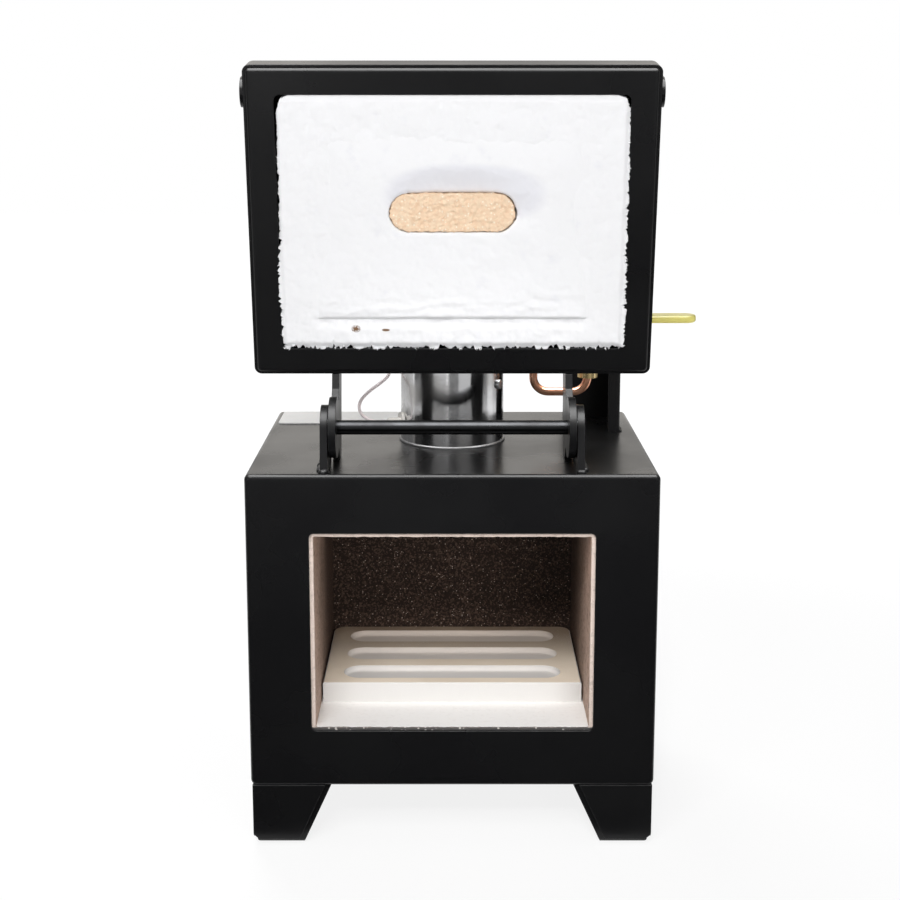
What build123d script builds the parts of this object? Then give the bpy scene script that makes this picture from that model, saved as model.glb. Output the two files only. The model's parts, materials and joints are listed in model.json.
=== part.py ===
from build123d import *
import math
import os

# Small gas-fired box furnace, standing with its flip-up front door open.
# Millimetres, +X to the right of someone who faces the door, +Y to the back, +Z up.
# It is laid out with x = 0 on its middle plane, y = 0 at its front face and z = 0 on the floor.
# At the end every piece moves so that the origin is the bottom centre of the whole object's box.

# Body
body_width = 280.0
body_depth = 210.0
body_height = 222.0
foot_height = 44.0
sheet = 2.0
panel_bend = 3.0
body_corner = 4.0
front_flange = 5.5
rear_flange = 12.0
rear_cover_thickness = 1.5
rear_cover_margin = 4.0
rear_screw_radius = 2.0
screw_clearance = 0.2

# Mouth and chamber
mouth_width = 194.0
mouth_height = 140.8
mouth_corner = 3.3
mouth_sill_height = 84.3
mouth_rim = 2.75
sill_step = 1.7
muffle_wall = 12.0
chamber_depth = 162.0
seal_thickness = 2.0
rear_air_gap = 4.0

# Hearth plate
hearth_side_gap = 1.3
hearth_thickness = 14.8
hearth_depth = 118.5
hearth_back_gap = 1.0
hearth_corner = 9.0
groove_length = 158.5
groove_width = 24.5
groove_pitch = 37.4
groove_depth = 4.0
groove_count = 3

# Feet
foot_inset = 1.0
foot_top = 55.0
foot_bottom = 35.0
leaf_thickness = 2.5
leaf_margin = 4.0
leaf_corner = 6.0
sole_wall = 4.0

# Hinge
pivot_back = 24.0
pivot_rise = 27.4
rod_radius = 5.0
running_clearance = 0.05
lug_inner = 84.3
lug_thickness = 5.0
lug_radius = 15.5
lug_foot = 38.0
arm_inner = 78.5
arm_thickness = 5.0
arm_eye_radius = 20.8
arm_neck_setback = 1.5
heel_gap = 0.3
heel_width = 14.0
heel_reach = 36.0
washer_thickness = 0.6
washer_radius = 9.0
door_lean = 9.0

# Door, described as it hangs when shut
door_width = 274.5
door_height = 212.6
door_drop = 1.0
door_gap = 3.0
frame_stand = 3.0
pan_depth = 24.0
pan_bend = 4.0
pan_corner = 5.0
frame_bend = 2.9
frame_flange = 9.0
lining_width = 234.0
lining_height = 174.3
lining_corner = 4.0
lining_clearance = 0.3
blanket_proud = 2.4
pad_mouth_gap = 2.0
pad_corner = 6.0
pad_thickness = 2.3
slot_length = 84.8
slot_width = 26.6
slot_drop = 115.5
flare_length = 104.0
flare_width = 62.0
flare_offset = 14.0
flare_depth = 1.6
plug_clearance = 0.4
plug_recess = 1.0
plug_head_overlap = 6.0
plug_head_thickness = 7.5
plug_head_gap = 0.3
handle_edge = 19.6
handle_strap = 2.5
handle_width = 20.0
handle_stand = 35.0
handle_bend = 12.0
handle_lap = 20.0
handle_screw_radius = 2.5
handle_screw_head = 4.6
handle_screw_length = 6.0
handle_socket = 3.0
handle_socket_depth = 1.2

# Burner
burner_back = 114.0
shroud_radius = 38.1
shroud_wall = 1.2
shroud_height = 112.0
base_ring_radius = 39.2
base_ring_height = 1.6
casing_port_radius = 33.0
insulation_port_radius = 30.0
nozzle_port_radius = 17.1
nozzle_radius = 17.0
nozzle_bore = 10.0
nozzle_flange_radius = 23.0
nozzle_flange = 3.0
nozzle_socket = 8.0
mixing_radius = 12.5
mixing_wall = 1.5
throat_radius = 8.5
bell_radius = 17.5
bell_gap = 2.0
taper_start = 44.0
throat_height = 79.0
bell_swell = 1.5
bell_height = 92.0
bridge_width = 12.0
bridge_thickness = 2.5
bridge_height = 44.0
bridge_hub_radius = 17.0
bridge_tab = 14.0
bridge_azimuth = -29.0
shroud_screw_radius = 2.0
shroud_screw_head = 3.6
shroud_screw_stand = 2.2
shroud_screw_grip = 6.0
shroud_screw_round = 1.0
jet_bridge_thickness = 4.0
jet_bridge_drop = 5.0
jet_radius = 5.0
jet_tip_radius = 2.6
jet_orifice = 0.5
jet_body_radius = 5.5
jet_flange = 14.0
jet_rise = 124.0

# Gas line
gas_tube_radius = 3.0
gas_tube_bore = 2.0
gas_tube_bend = 11.0
gas_down_x = 60.0
gas_up_x = 100.0
gas_low = 35.0
tube_nut_size = 13.0
tube_nut_length = 8.0
jet_arm = 12.0
elbow_base = 54.0
valve_rise = 66.0
elbow_radius = 6.5
elbow_reach = 17.0
elbow_hex = 6.0
valve_length = 40.0
valve_barrel_radius = 12.0
valve_hex = 19.0
valve_hex_length = 8.0
valve_bore = 4.0
ball_radius = 8.0
ball_clearance = 0.2
tongue_thickness = 3.0
tongue_width = 5.6
tongue_depth = 2.5
stem_radius = 3.5
stem_clearance = 0.05
bonnet_radius = 6.0
bonnet_height = 16.0
stem_height = 25.0
lever_height = 17.5
lever_thickness = 2.5
lever_length = 85.0
lever_hub_radius = 9.0
lever_blade = 12.0
sleeve_length = 56.0
sleeve_width = 17.0
sleeve_thickness = 6.0
lever_nut_size = 10.0
lever_nut_height = 4.0
nipple_radius = 7.5
nipple_stub_radius = 6.58
nipple_stub = 14.0
nipple_seat = 1.2
bulkhead_nut_size = 19.0
bulkhead_nut_thickness = 5.0
bracket_sheet = 2.5
bracket_back = 190.0
bracket_front = 134.0
bracket_left = 88.0
bracket_right = 127.0
bracket_height = 76.0
bracket_return = 9.0
bracket_corner = 6.0

# Igniter
igniter_back = 172.0
igniter_rise = 50.0
igniter_radius = 7.0
igniter_left = -26.0
igniter_leaf_x = 18.0
igniter_leaf = 2.0
igniter_leaf_width = 20.0
igniter_leaf_top = 64.0
igniter_flange_radius = 9.5
igniter_flange = 3.0
igniter_terminal = 4.0
button_radius = 4.6
button_clearance = 0.2
button_travel = 5.0
button_stand = 10.0
button_root = 2.5
lead_radius = 1.2
gland_azimuth = 198.0
gland_rise = 15.0
gland_shank = 4.0
gland_reach = 3.0
gland_flange_radius = 7.0
gland_flange = 2.0
gland_boot_radius = 3.2
gland_boot = 10.0
electrode_radius = 2.5
electrode_tip_radius = 0.8
electrode_tip = 8.0

# Places worked out from the sizes above
body_top = foot_height + body_height
half_width = body_width / 2
wall_inside = half_width - sheet
floor_level = mouth_sill_height + sill_step
chamber_half = mouth_width / 2 - mouth_rim
ceiling_level = mouth_sill_height + mouth_height - mouth_rim
muffle_half = chamber_half + muffle_wall
muffle_front = sheet + seal_thickness
chamber_back = muffle_front + chamber_depth
muffle_back = chamber_back + muffle_wall
insulation_end = body_depth - sheet - rear_air_gap
pivot_z = body_top + pivot_rise
door_top = body_top - door_drop
door_bottom = door_top - door_height
door_middle = (door_top + door_bottom) / 2
frame_face = -door_gap
pan_rim = frame_face - frame_stand
pan_back = pan_rim - pan_depth
blanket_face = frame_face + blanket_proud
pad_face = blanket_face + pad_thickness
mouth_middle = mouth_sill_height + mouth_height / 2
slot_level = door_top - slot_drop
handle_level = door_bottom + handle_edge
shroud_bore = shroud_radius - shroud_wall
valve_back = burner_back + elbow_reach + valve_length / 2
valve_level = body_top + valve_rise
door_swing = 180.0 - door_lean


def block(low, high):
    """Box between two corners."""
    size = [b - a for a, b in zip(low, high)]
    middle = [(a + b) / 2 for a, b in zip(low, high)]
    return Pos(*middle) * Box(*size)


def bar(radius, start, end):
    """Round bar from one point to another."""
    run = Vector(*end) - Vector(*start)
    place = Plane(origin=start, z_dir=run).location
    return place * Cylinder(radius, run.length, align=(Align.CENTER, Align.CENTER, Align.MIN))


def hex_bar(across_flats, start, end):
    """Hexagonal bar from one point to another."""
    run = Vector(*end) - Vector(*start)
    flat = RegularPolygon(across_flats / 2, 6, major_radius=False)
    return Plane(origin=start, z_dir=run).location * extrude(flat, run.length)


def round_prism_y(width, height, corner, y_low, y_high, level):
    """Rounded rectangle, centred on x = 0, standing across Y."""
    face = RectangleRounded(width, height, corner)
    place = Plane(origin=(0, y_low, level), x_dir=(1, 0, 0), z_dir=(0, 1, 0))
    return place.location * extrude(face, y_high - y_low)


def slot_prism_y(length, width, y_low, y_high, level):
    """Slot with round ends, centred on x = 0, running along Y."""
    face = SlotOverall(length, width)
    place = Plane(origin=(0, y_low, level), x_dir=(1, 0, 0), z_dir=(0, 1, 0))
    return place.location * extrude(face, y_high - y_low)


def bent_tray(width, height, depth, wall, bend, corner):
    """Sheet tray that opens to +Y, with its face on y = 0 and its middle at z = 0."""
    skin = round_prism_y(width, height, corner, 0, depth, 0)
    skin = fillet(skin.faces().sort_by(Axis.Y)[0].edges(), min(bend, corner * 0.9))
    inside = round_prism_y(width - 2 * wall, height - 2 * wall, corner - wall, wall, depth, 0)
    return skin - inside


def wedge(low_box, high_box, z_low, z_high):
    """Tapered solid between two rectangles, each (x, x, y, y), one above the other."""
    faces = []
    for (x0, x1, y0, y1), z in ((low_box, z_low), (high_box, z_high)):
        flat = Rectangle(abs(x1 - x0), abs(y1 - y0))
        faces.append(Pos((x0 + x1) / 2, (y0 + y1) / 2, z) * flat)
    return loft(faces, ruled=True)


def make_front_panel():
    """Front tray with the mouth cut in it. Its rim bends back to meet the casing."""
    tray = bent_tray(body_width, body_height, front_flange, sheet, panel_bend, body_corner)
    tray = Pos(0, 0, foot_height + body_height / 2) * tray
    mouth = round_prism_y(mouth_width, mouth_height, mouth_corner, -1, sheet + 1, mouth_middle)
    return tray - mouth


def rear_screw_places():
    """Eight screw centres on the rear flange, three along the top and bottom, one at each side."""
    side = wall_inside - rear_flange / 2
    level = foot_height + body_height / 2
    rise = body_height / 2 - sheet - rear_flange / 2
    places = [(x, level + z) for x in (-side, 0, side) for z in (-rise, rise)]
    return places + [(-side, level), (side, level)]


def rear_screw_bores(y_low, y_high):
    radius = rear_screw_radius + screw_clearance
    return [bar(radius, (x, y_low, z), (x, y_high, z)) for x, z in rear_screw_places()]


def make_casing_wrap():
    """Top, sides and bottom in one bent sheet, with a flange turned in round the back."""
    level = foot_height + body_height / 2
    inner_width = body_width - 2 * sheet
    inner_height = body_height - 2 * sheet
    wrap = round_prism_y(body_width, body_height, body_corner, front_flange, body_depth, level)
    hollow = round_prism_y(
        inner_width, inner_height, body_corner - sheet, front_flange, body_depth - sheet, level
    )
    window = round_prism_y(
        inner_width - 2 * rear_flange, inner_height - 2 * rear_flange, body_corner,
        body_depth - sheet, body_depth, level,
    )
    port = bar(
        casing_port_radius, (0, burner_back, body_top - 2 * sheet), (0, burner_back, body_top + 1)
    )
    return wrap - hollow - window - port - rear_screw_bores(body_depth - 2 * sheet, body_depth + 1)


def make_rear_panel():
    """Flat cover, screwed on the casing's rear flange."""
    level = foot_height + body_height / 2
    margin = 2 * rear_cover_margin
    cover = round_prism_y(
        body_width - margin, body_height - margin, body_corner,
        body_depth, body_depth + rear_cover_thickness, level,
    )
    cover = fillet(cover.faces().sort_by(Axis.Y)[-1].edges(), rear_cover_thickness / 3)
    return cover - rear_screw_bores(body_depth - 1, body_depth + rear_cover_thickness + 1)


def make_rear_screws():
    """Pan-head screws of the rear cover."""
    head_radius = 2 * rear_screw_radius
    head_height = 1.2 * rear_screw_radius
    seat = body_depth + rear_cover_thickness
    tip = body_depth - sheet - rear_air_gap / 2
    screws = []
    for x, z in rear_screw_places():
        head = bar(head_radius, (x, seat, z), (x, seat + head_height, z))
        head = fillet(head.edges().sort_by(Axis.Y)[-1], head_height / 2)
        shank = bar(rear_screw_radius, (x, tip, z), (x, seat, z))
        socket = hex_bar(rear_screw_radius * 1.2, (x, seat + head_height / 2, z),
                         (x, seat + head_height + 1, z))
        screws.append(head + shank - socket)
    return Compound(children=screws)


def make_foot(side, front):
    """One foot: a tapered hollow sole with a leaf in front of its two outer faces.

    side is -1 at the left and 1 at the right, front is 1 at the front and -1 at the back.
    It is built for the front left corner and then mirrored.
    """
    outer = -half_width + foot_inset
    top_in = outer + foot_top
    low_in = outer + foot_bottom
    core = outer + leaf_thickness
    edge = foot_inset
    core_y = edge + leaf_thickness
    low_box = (core, low_in, core_y, edge + foot_bottom)
    high_box = (core, top_in, core_y, edge + foot_top)
    sole = wedge(low_box, high_box, 0, foot_height)
    low_edges = sole.edges().group_by(Axis.Z)[0]
    rounded = [low_edges.sort_by(Axis.X)[0], low_edges.sort_by(Axis.Y)[0]]
    sole = fillet(rounded, min(leaf_corner, sole_wall * 0.9))
    slope = (foot_top - foot_bottom) / foot_height
    slant = sole_wall * math.hypot(1, slope)
    low_slant = slant - slope * sole_wall
    low_hollow = (core + sole_wall, low_in - low_slant, core_y + sole_wall, edge + foot_bottom - low_slant)
    high_hollow = (core + sole_wall, top_in - slant, core_y + sole_wall, edge + foot_top - slant)
    sole = sole - wedge(low_hollow, high_hollow, sole_wall, foot_height)
    margin = leaf_margin * math.hypot(1, slope)
    low_end = foot_bottom + slope * leaf_margin - margin
    high_end = foot_top - margin
    outline = [(0, foot_height), (0, leaf_margin), (low_end, leaf_margin), (high_end, foot_height)]
    leaf = make_face(Polyline(*outline, close=True).edges())
    low_corners = leaf.vertices().group_by(Axis.Y)[0]
    leaf = fillet(low_corners.sort_by(Axis.X)[0], leaf_corner)
    leaf = fillet(leaf.vertices().sort_by(Axis.X)[-2:].group_by(Axis.Y)[0], leaf_corner / 2)
    front_place = Plane(origin=(outer, core_y, 0), x_dir=(1, 0, 0), z_dir=(0, -1, 0))
    front_leaf = front_place.location * extrude(leaf, leaf_thickness)
    side_place = Plane(origin=(outer, edge, 0), x_dir=(0, 1, 0), z_dir=(1, 0, 0))
    side_leaf = side_place.location * extrude(leaf, leaf_thickness)
    foot = sole + front_leaf + side_leaf
    if side > 0:
        foot = mirror(foot, about=Plane.YZ)
    if front < 0:
        foot = mirror(foot, about=Plane.XZ.offset(-body_depth / 2))
    return foot


def make_mouth_seal():
    """Ring of ceramic paper between the front panel and the muffle."""
    outer = block((-muffle_half, sheet, floor_level - muffle_wall),
                  (muffle_half, muffle_front, ceiling_level + muffle_wall))
    inner = block((-chamber_half, 0, floor_level), (chamber_half, body_depth, ceiling_level))
    return outer - inner


def make_muffle():
    """Five refractory slabs round the chamber; the ceiling has the burner's port."""
    low, high = floor_level - muffle_wall, ceiling_level + muffle_wall
    floor = block((-muffle_half, muffle_front, low), (muffle_half, muffle_back, floor_level))
    ceiling = block((-muffle_half, muffle_front, ceiling_level), (muffle_half, muffle_back, high))
    ceiling = ceiling - bar(nozzle_port_radius, (0, burner_back, 0), (0, burner_back, body_top))
    left = block((-muffle_half, muffle_front, floor_level), (-chamber_half, muffle_back, ceiling_level))
    right = block((chamber_half, muffle_front, floor_level), (muffle_half, muffle_back, ceiling_level))
    back = block((-chamber_half, chamber_back, floor_level), (chamber_half, muffle_back, ceiling_level))
    return {
        "muffle_floor": floor,
        "muffle_ceiling": ceiling,
        "muffle_left_wall": left,
        "muffle_right_wall": right,
        "muffle_back_wall": back,
    }


def make_insulation():
    """Five blocks of fibre board that fill the space between muffle and casing."""
    low, high = foot_height + sheet, body_top - sheet
    muffle_low, muffle_high = floor_level - muffle_wall, ceiling_level + muffle_wall
    bend = body_corner - sheet
    sides = {}
    for name, sign in (("left", -1), ("right", 1)):
        slab = block((muffle_half, sheet, low), (wall_inside, insulation_end, high))
        outer_edges = slab.edges().filter_by(Axis.Y).group_by(Axis.X)[-1]
        slab = fillet(outer_edges, bend + 0.1)
        sides[name] = slab if sign > 0 else mirror(slab, about=Plane.YZ)
    top = block((-muffle_half, sheet, muffle_high), (muffle_half, insulation_end, high))
    top = top - bar(insulation_port_radius, (0, burner_back, 0), (0, burner_back, body_top))
    return {
        "insulation_left": sides["left"],
        "insulation_right": sides["right"],
        "insulation_top": top,
        "insulation_bottom": block((-muffle_half, sheet, low), (muffle_half, insulation_end, muffle_low)),
        "insulation_rear": block((-muffle_half, muffle_back, muffle_low),
                                 (muffle_half, insulation_end, muffle_high)),
    }


def make_hearth_plate():
    """Loose ceramic plate with round-ended grooves across it."""
    half = chamber_half - hearth_side_gap
    back = chamber_back - hearth_back_gap
    front = back - hearth_depth
    top = floor_level + hearth_thickness
    plate = block((-half, front, floor_level), (half, back, top))
    plate = fillet(plate.edges().filter_by(Axis.Z).group_by(Axis.Y)[-1], hearth_corner)
    plate = chamfer(plate.faces().sort_by(Axis.Z)[-1].edges(), 0.8)
    middle = (front + back) / 2
    for i in range(groove_count):
        y = middle + (i - (groove_count - 1) / 2) * groove_pitch
        groove = extrude(SlotOverall(groove_length, groove_width), groove_depth + 1)
        groove = fillet(groove.faces().sort_by(Axis.Z)[0].edges(), groove_depth * 0.6)
        plate = plate - Pos(0, y, top - groove_depth) * groove
    return plate


def open_place(outward, down):
    """Point (y, z) of the open door, from its place on the shut door.

    outward is measured from the pivot towards the door's outer side, down from the pivot to its free edge.
    """
    lean = math.radians(door_lean)
    y = pivot_back + outward * math.cos(lean) - down * math.sin(lean)
    z = pivot_z + outward * math.sin(lean) + down * math.cos(lean)
    return y, z


def plate_x(outline, x_low, thickness):
    """Flat plate across X from an outline drawn in Y and Z."""
    place = Plane(origin=(x_low, 0, 0), x_dir=(0, 1, 0), z_dir=(1, 0, 0))
    return place.location * extrude(outline, thickness)


def make_hinge_lug(side):
    """Upright plate with a round top and the pivot's bore."""
    eye = Pos(pivot_back, pivot_z) * Circle(lug_radius)
    foot_line = Line((pivot_back - lug_foot / 2, body_top), (pivot_back + lug_foot / 2, body_top))
    outline = make_hull(eye.edges() + foot_line.edges())
    outline = outline - Pos(pivot_back, pivot_z) * Circle(rod_radius + running_clearance)
    lug = plate_x(outline, lug_inner, lug_thickness)
    return lug if side > 0 else mirror(lug, about=Plane.YZ)


def make_hinge_arm(side):
    """Plate with a large eye on the rod, a neck up to the door and a heel that stops on the top."""
    edge = pivot_z - door_top
    first = pivot_back - pan_rim - arm_neck_setback
    last = pivot_back - pan_back - arm_neck_setback
    neck_low = open_place(first, edge)
    neck_high = open_place(last, edge)
    heel_z = body_top + heel_gap
    heel_back = pivot_back + heel_reach
    web = Polyline(
        (pivot_back, pivot_z),
        (pivot_back + heel_reach - heel_width, heel_z),
        (heel_back, heel_z),
        (heel_back + 5, pivot_z),
        neck_high,
        neck_low,
        (neck_low[0] - 3, neck_low[1] - 10),
        close=True,
    )
    outline = Pos(pivot_back, pivot_z) * Circle(arm_eye_radius) + make_face(web.edges())
    sharp = [v for v in outline.vertices() if v.Y < neck_low[1] - 5]
    outline = fillet(sharp, 2.5)
    outline = outline - Pos(pivot_back, pivot_z) * Circle(rod_radius)
    arm = plate_x(outline, arm_inner, arm_thickness)
    return arm if side > 0 else mirror(arm, about=Plane.YZ)


def make_hinge_rod():
    """Rod that is fixed in both arms and turns in both lugs."""
    end = lug_inner + lug_thickness
    rod = bar(rod_radius, (-end, pivot_back, pivot_z), (end, pivot_back, pivot_z))
    return chamfer(rod.edges().filter_by(GeomType.CIRCLE), 0.6)


def make_hinge_washers():
    """Thin washers between each arm and its lug."""
    washers = []
    gap = lug_inner - arm_inner - arm_thickness
    for side in (-1, 1):
        near = side * (arm_inner + arm_thickness + (gap - washer_thickness) / 2)
        far = near + side * washer_thickness
        disc = bar(washer_radius, (near, pivot_back, pivot_z), (far, pivot_back, pivot_z))
        hole = bar(rod_radius, (near - side, pivot_back, pivot_z), (far + side, pivot_back, pivot_z))
        washers.append(disc - hole)
    return Compound(children=washers)


def make_door_pan():
    """Outer shell of the door, as shut, with the vent slot through its face."""
    pan = bent_tray(door_width, door_height, pan_depth, sheet, pan_bend, pan_corner)
    pan = Pos(0, pan_back, door_middle) * pan
    pan = pan - slot_prism_y(slot_length, slot_width, pan_back - 1, pan_back + sheet + 1, slot_level)
    bore = handle_screw_radius + screw_clearance
    y = pan_rim - pan_depth / 2
    end = door_width / 2 + 1
    return pan - bar(bore, (-end, y, handle_level), (end, y, handle_level))


def make_door_frame():
    """Black border round the lining: a tray set into the pan, its edge rolled over."""
    width = door_width - 2 * sheet
    height = door_height - 2 * sheet
    tray = bent_tray(width, height, frame_flange, sheet, frame_bend, pan_corner - sheet + 0.01)
    tray = Pos(0, frame_face, door_middle) * Rot(0, 0, 180) * tray
    window = round_prism_y(
        lining_width, lining_height, lining_corner, frame_face - frame_flange, frame_face + 1, door_middle
    )
    return tray - window


def vent_slot(y_low, y_high):
    return slot_prism_y(slot_length, slot_width, y_low, y_high, slot_level)


def make_door_blanket():
    """Fibre that fills the pan and stands a little proud of the frame."""
    width = door_width - 4 * sheet - 2 * lining_clearance
    height = door_height - 4 * sheet - 2 * lining_clearance
    base = round_prism_y(width, height, pan_corner, pan_back + sheet, frame_face - sheet, door_middle)
    island = round_prism_y(
        lining_width - 2 * lining_clearance, lining_height - 2 * lining_clearance, lining_corner,
        frame_face - sheet, blanket_face, door_middle,
    )
    island = fillet(island.faces().sort_by(Axis.Y)[-1].edges(), blanket_proud * 0.6)
    return base + island - vent_slot(pan_back, blanket_face + 1)


def make_door_pad():
    """Second fibre layer, as large as the mouth, with a scooped hollow beside the slot."""
    pad = round_prism_y(
        mouth_width - 2 * pad_mouth_gap, mouth_height - 2 * pad_mouth_gap, pad_corner,
        blanket_face, pad_face, mouth_middle,
    )
    pad = fillet(pad.faces().sort_by(Axis.Y)[-1].edges(), pad_thickness * 0.5)
    scoop = slot_prism_y(flare_length, flare_width, pad_face - flare_depth, pad_face + 1,
                         slot_level - flare_offset)
    return pad - scoop - vent_slot(blanket_face - 1, pad_face + 1)


def make_vent_plug():
    """Refractory plug with round ends and a wider head outside the door."""
    length = slot_length - 2 * plug_clearance
    width = slot_width - 2 * plug_clearance
    seat = pan_back - plug_head_gap
    stem = slot_prism_y(length, width, seat, pad_face - plug_recess, slot_level)
    overlap = 2 * plug_head_overlap
    head = slot_prism_y(
        slot_length + overlap, slot_width + overlap, seat - plug_head_thickness, seat, slot_level
    )
    head = fillet(head.faces().sort_by(Axis.Y)[0].edges(), plug_head_thickness / 3)
    return stem + head


def make_door_handle():
    """Flat strap bent to a bail, lapped on both sides of the pan near the free edge."""
    outer = door_width / 2 + handle_strap
    far = pan_back - handle_stand
    near = pan_rim - pan_depth / 2 + handle_lap / 2
    depth = near - far
    ring = Pos(0, (near + far) / 2) * Rectangle(2 * outer, depth)
    ring = fillet(ring.vertices().group_by(Axis.Y)[0], handle_bend)
    inside = Pos(0, (near + far) / 2 + handle_strap / 2) * Rectangle(door_width, depth - handle_strap)
    inside = fillet(inside.vertices().group_by(Axis.Y)[0], handle_bend - handle_strap)
    strap = Pos(0, 0, handle_level - handle_width / 2) * extrude(ring - inside, handle_width)
    ends = strap.edges().filter_by(Axis.X).group_by(Axis.Y)[-1]
    strap = fillet(ends, min(handle_width, handle_lap) * 0.49)
    y = pan_rim - pan_depth / 2
    for side in (-1, 1):
        strap = strap - handle_screw_shape(side, y, screw_clearance / 4)
    return strap


def handle_screw_shape(side, y, extra):
    """Countersunk screw through the strap's lap and the pan's side, grown by extra."""
    face = door_width / 2 + handle_strap
    shank_radius = handle_screw_radius + extra
    head_radius = handle_screw_head + extra
    tip = face - handle_screw_length
    cone_depth = handle_strap * 0.8
    place = Plane(origin=(side * (face - cone_depth), y, handle_level), z_dir=(side, 0, 0)).location
    cone = place * Cone(shank_radius, head_radius, cone_depth,
                        align=(Align.CENTER, Align.CENTER, Align.MIN))
    shank = bar(shank_radius, (side * tip, y, handle_level), (side * (face - cone_depth), y, handle_level))
    return cone + shank


def make_handle_screws():
    """Two countersunk screws that hold the strap to the pan."""
    y = pan_rim - pan_depth / 2
    face = door_width / 2 + handle_strap
    screws = []
    for side in (-1, 1):
        bottom = (side * (face - handle_socket_depth), y, handle_level)
        socket = hex_bar(handle_socket, bottom, (side * (face + 1), y, handle_level))
        screws.append(handle_screw_shape(side, y, 0) - socket)
    return Compound(children=screws)


def open_door(piece):
    """Swing a piece of the shut door up to the open position about the rod."""
    to_pivot = Pos(0, pivot_back, pivot_z)
    return to_pivot * Rot(-door_swing, 0, 0) * Pos(0, -pivot_back, -pivot_z) * piece


def around_burner(azimuth, radius, height):
    """Point at a radius and azimuth round the burner's axis, at a height over the top."""
    turn = math.radians(azimuth)
    return (radius * math.cos(turn), burner_back + radius * math.sin(turn), body_top + height)


def revolve_at_burner(outline):
    """Turn an outline of (radius, height over the top) about the burner's axis."""
    points = [(radius, 0, body_top + height) for radius, height in outline]
    face = make_face(Polyline(*points, close=True).edges())
    return Pos(0, burner_back, 0) * revolve(face, Axis.Z)


def make_burner_shroud():
    """Polished tube round the burner, with holes for two screws and the electrode's gland."""
    tube = revolve_at_burner([
        (shroud_bore, 0), (shroud_radius, 0), (shroud_radius, shroud_height), (shroud_bore, shroud_height),
    ])
    for azimuth in (bridge_azimuth, bridge_azimuth + 180):
        start = around_burner(azimuth, shroud_bore - 2, bridge_height)
        end = around_burner(azimuth, shroud_radius + 2, bridge_height)
        tube = tube - bar(shroud_screw_radius + screw_clearance, start, end)
    start = around_burner(gland_azimuth, shroud_bore - 3, gland_rise)
    end = around_burner(gland_azimuth, shroud_radius + 2, gland_rise)
    return tube - bar(gland_shank + screw_clearance / 2, start, end)


def make_base_ring():
    """Thin polished ring round the foot of the shroud."""
    return revolve_at_burner([
        (shroud_radius, 0), (base_ring_radius, 0), (base_ring_radius, base_ring_height * 0.6),
        (shroud_radius + 0.4, base_ring_height), (shroud_radius, base_ring_height),
    ])


def make_mixing_tube():
    """Venturi of the burner: bell at the top, throat, taper and a straight tube down to the nozzle."""
    low = ceiling_level + muffle_wall + nozzle_flange - body_top
    wall = mixing_wall
    return revolve_at_burner([
        (mixing_radius, low),
        (mixing_radius, taper_start),
        (throat_radius, throat_height),
        (throat_radius + bell_swell, (throat_height + bell_height) / 2),
        (bell_radius, bell_height),
        (bell_radius - wall, bell_height),
        (throat_radius + bell_swell - wall, (throat_height + bell_height) / 2),
        (throat_radius - wall, throat_height),
        (mixing_radius - wall, taper_start),
        (mixing_radius - wall, low),
    ])


def make_flame_nozzle():
    """Nozzle in the muffle's ceiling port, with a flange on the slab and a socket for the tube."""
    ceiling = ceiling_level - body_top
    slab = ceiling + muffle_wall
    flange_top = slab + nozzle_flange
    return revolve_at_burner([
        (nozzle_bore + 4, ceiling + 1),
        (nozzle_radius, ceiling + 1),
        (nozzle_radius, slab),
        (nozzle_flange_radius, slab),
        (nozzle_flange_radius, flange_top),
        (mixing_radius + 2.5, flange_top),
        (mixing_radius + 2.5, flange_top + nozzle_socket),
        (mixing_radius, flange_top + nozzle_socket),
        (mixing_radius, flange_top),
        (nozzle_bore, flange_top),
        (nozzle_bore, ceiling + 6),
    ])


def burner_strip(width, thickness, height, azimuth):
    """Flat strip across the inside of the shroud."""
    strip = Box(2 * shroud_radius, width, thickness, align=(Align.CENTER, Align.CENTER, Align.MIN))
    strip = Pos(0, burner_back, body_top + height) * Rot(0, 0, azimuth) * strip
    limit = bar(shroud_bore, (0, burner_back, body_top), (0, burner_back, body_top + shroud_height))
    return strip & limit


def make_burner_bridge():
    """Strip across the shroud with a hub round the mixing tube and a tab down at each end."""
    bridge = burner_strip(bridge_width, bridge_thickness, bridge_height - bridge_tab / 2, bridge_azimuth)
    tabs = burner_strip(bridge_width, bridge_tab, bridge_height - bridge_tab / 2, bridge_azimuth)
    tabs = tabs - bar(shroud_bore - bridge_thickness, (0, burner_back, body_top),
                      (0, burner_back, body_top + shroud_height))
    low = bridge_height - bridge_tab / 2
    hub = revolve_at_burner([
        (mixing_radius - 1, low), (bridge_hub_radius, low),
        (bridge_hub_radius, low + 2 * bridge_thickness), (mixing_radius - 1, low + 2 * bridge_thickness),
    ])
    bridge = bridge + tabs + hub
    bridge = bridge - bar(mixing_radius, (0, burner_back, body_top), (0, burner_back, body_top + shroud_height))
    for azimuth in (bridge_azimuth, bridge_azimuth + 180):
        start = around_burner(azimuth, shroud_bore - 8, bridge_height)
        end = around_burner(azimuth, shroud_radius, bridge_height)
        bridge = bridge - bar(shroud_screw_radius, start, end)
    return bridge


def make_shroud_screws():
    """Two screws through the shroud into the bridge's tabs."""
    screws = []
    for azimuth in (bridge_azimuth, bridge_azimuth + 180):
        tip = around_burner(azimuth, shroud_bore - shroud_screw_grip, bridge_height)
        seat = around_burner(azimuth, shroud_radius, bridge_height)
        end = around_burner(azimuth, shroud_radius + shroud_screw_stand, bridge_height)
        head = bar(shroud_screw_head, seat, end)
        outer_edge = head.edges().filter_by(GeomType.CIRCLE).sort_by_distance(end)[0]
        head = fillet(outer_edge, shroud_screw_round)
        screws.append(bar(shroud_screw_radius, tip, seat) + head)
    return Compound(children=screws)


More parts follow.
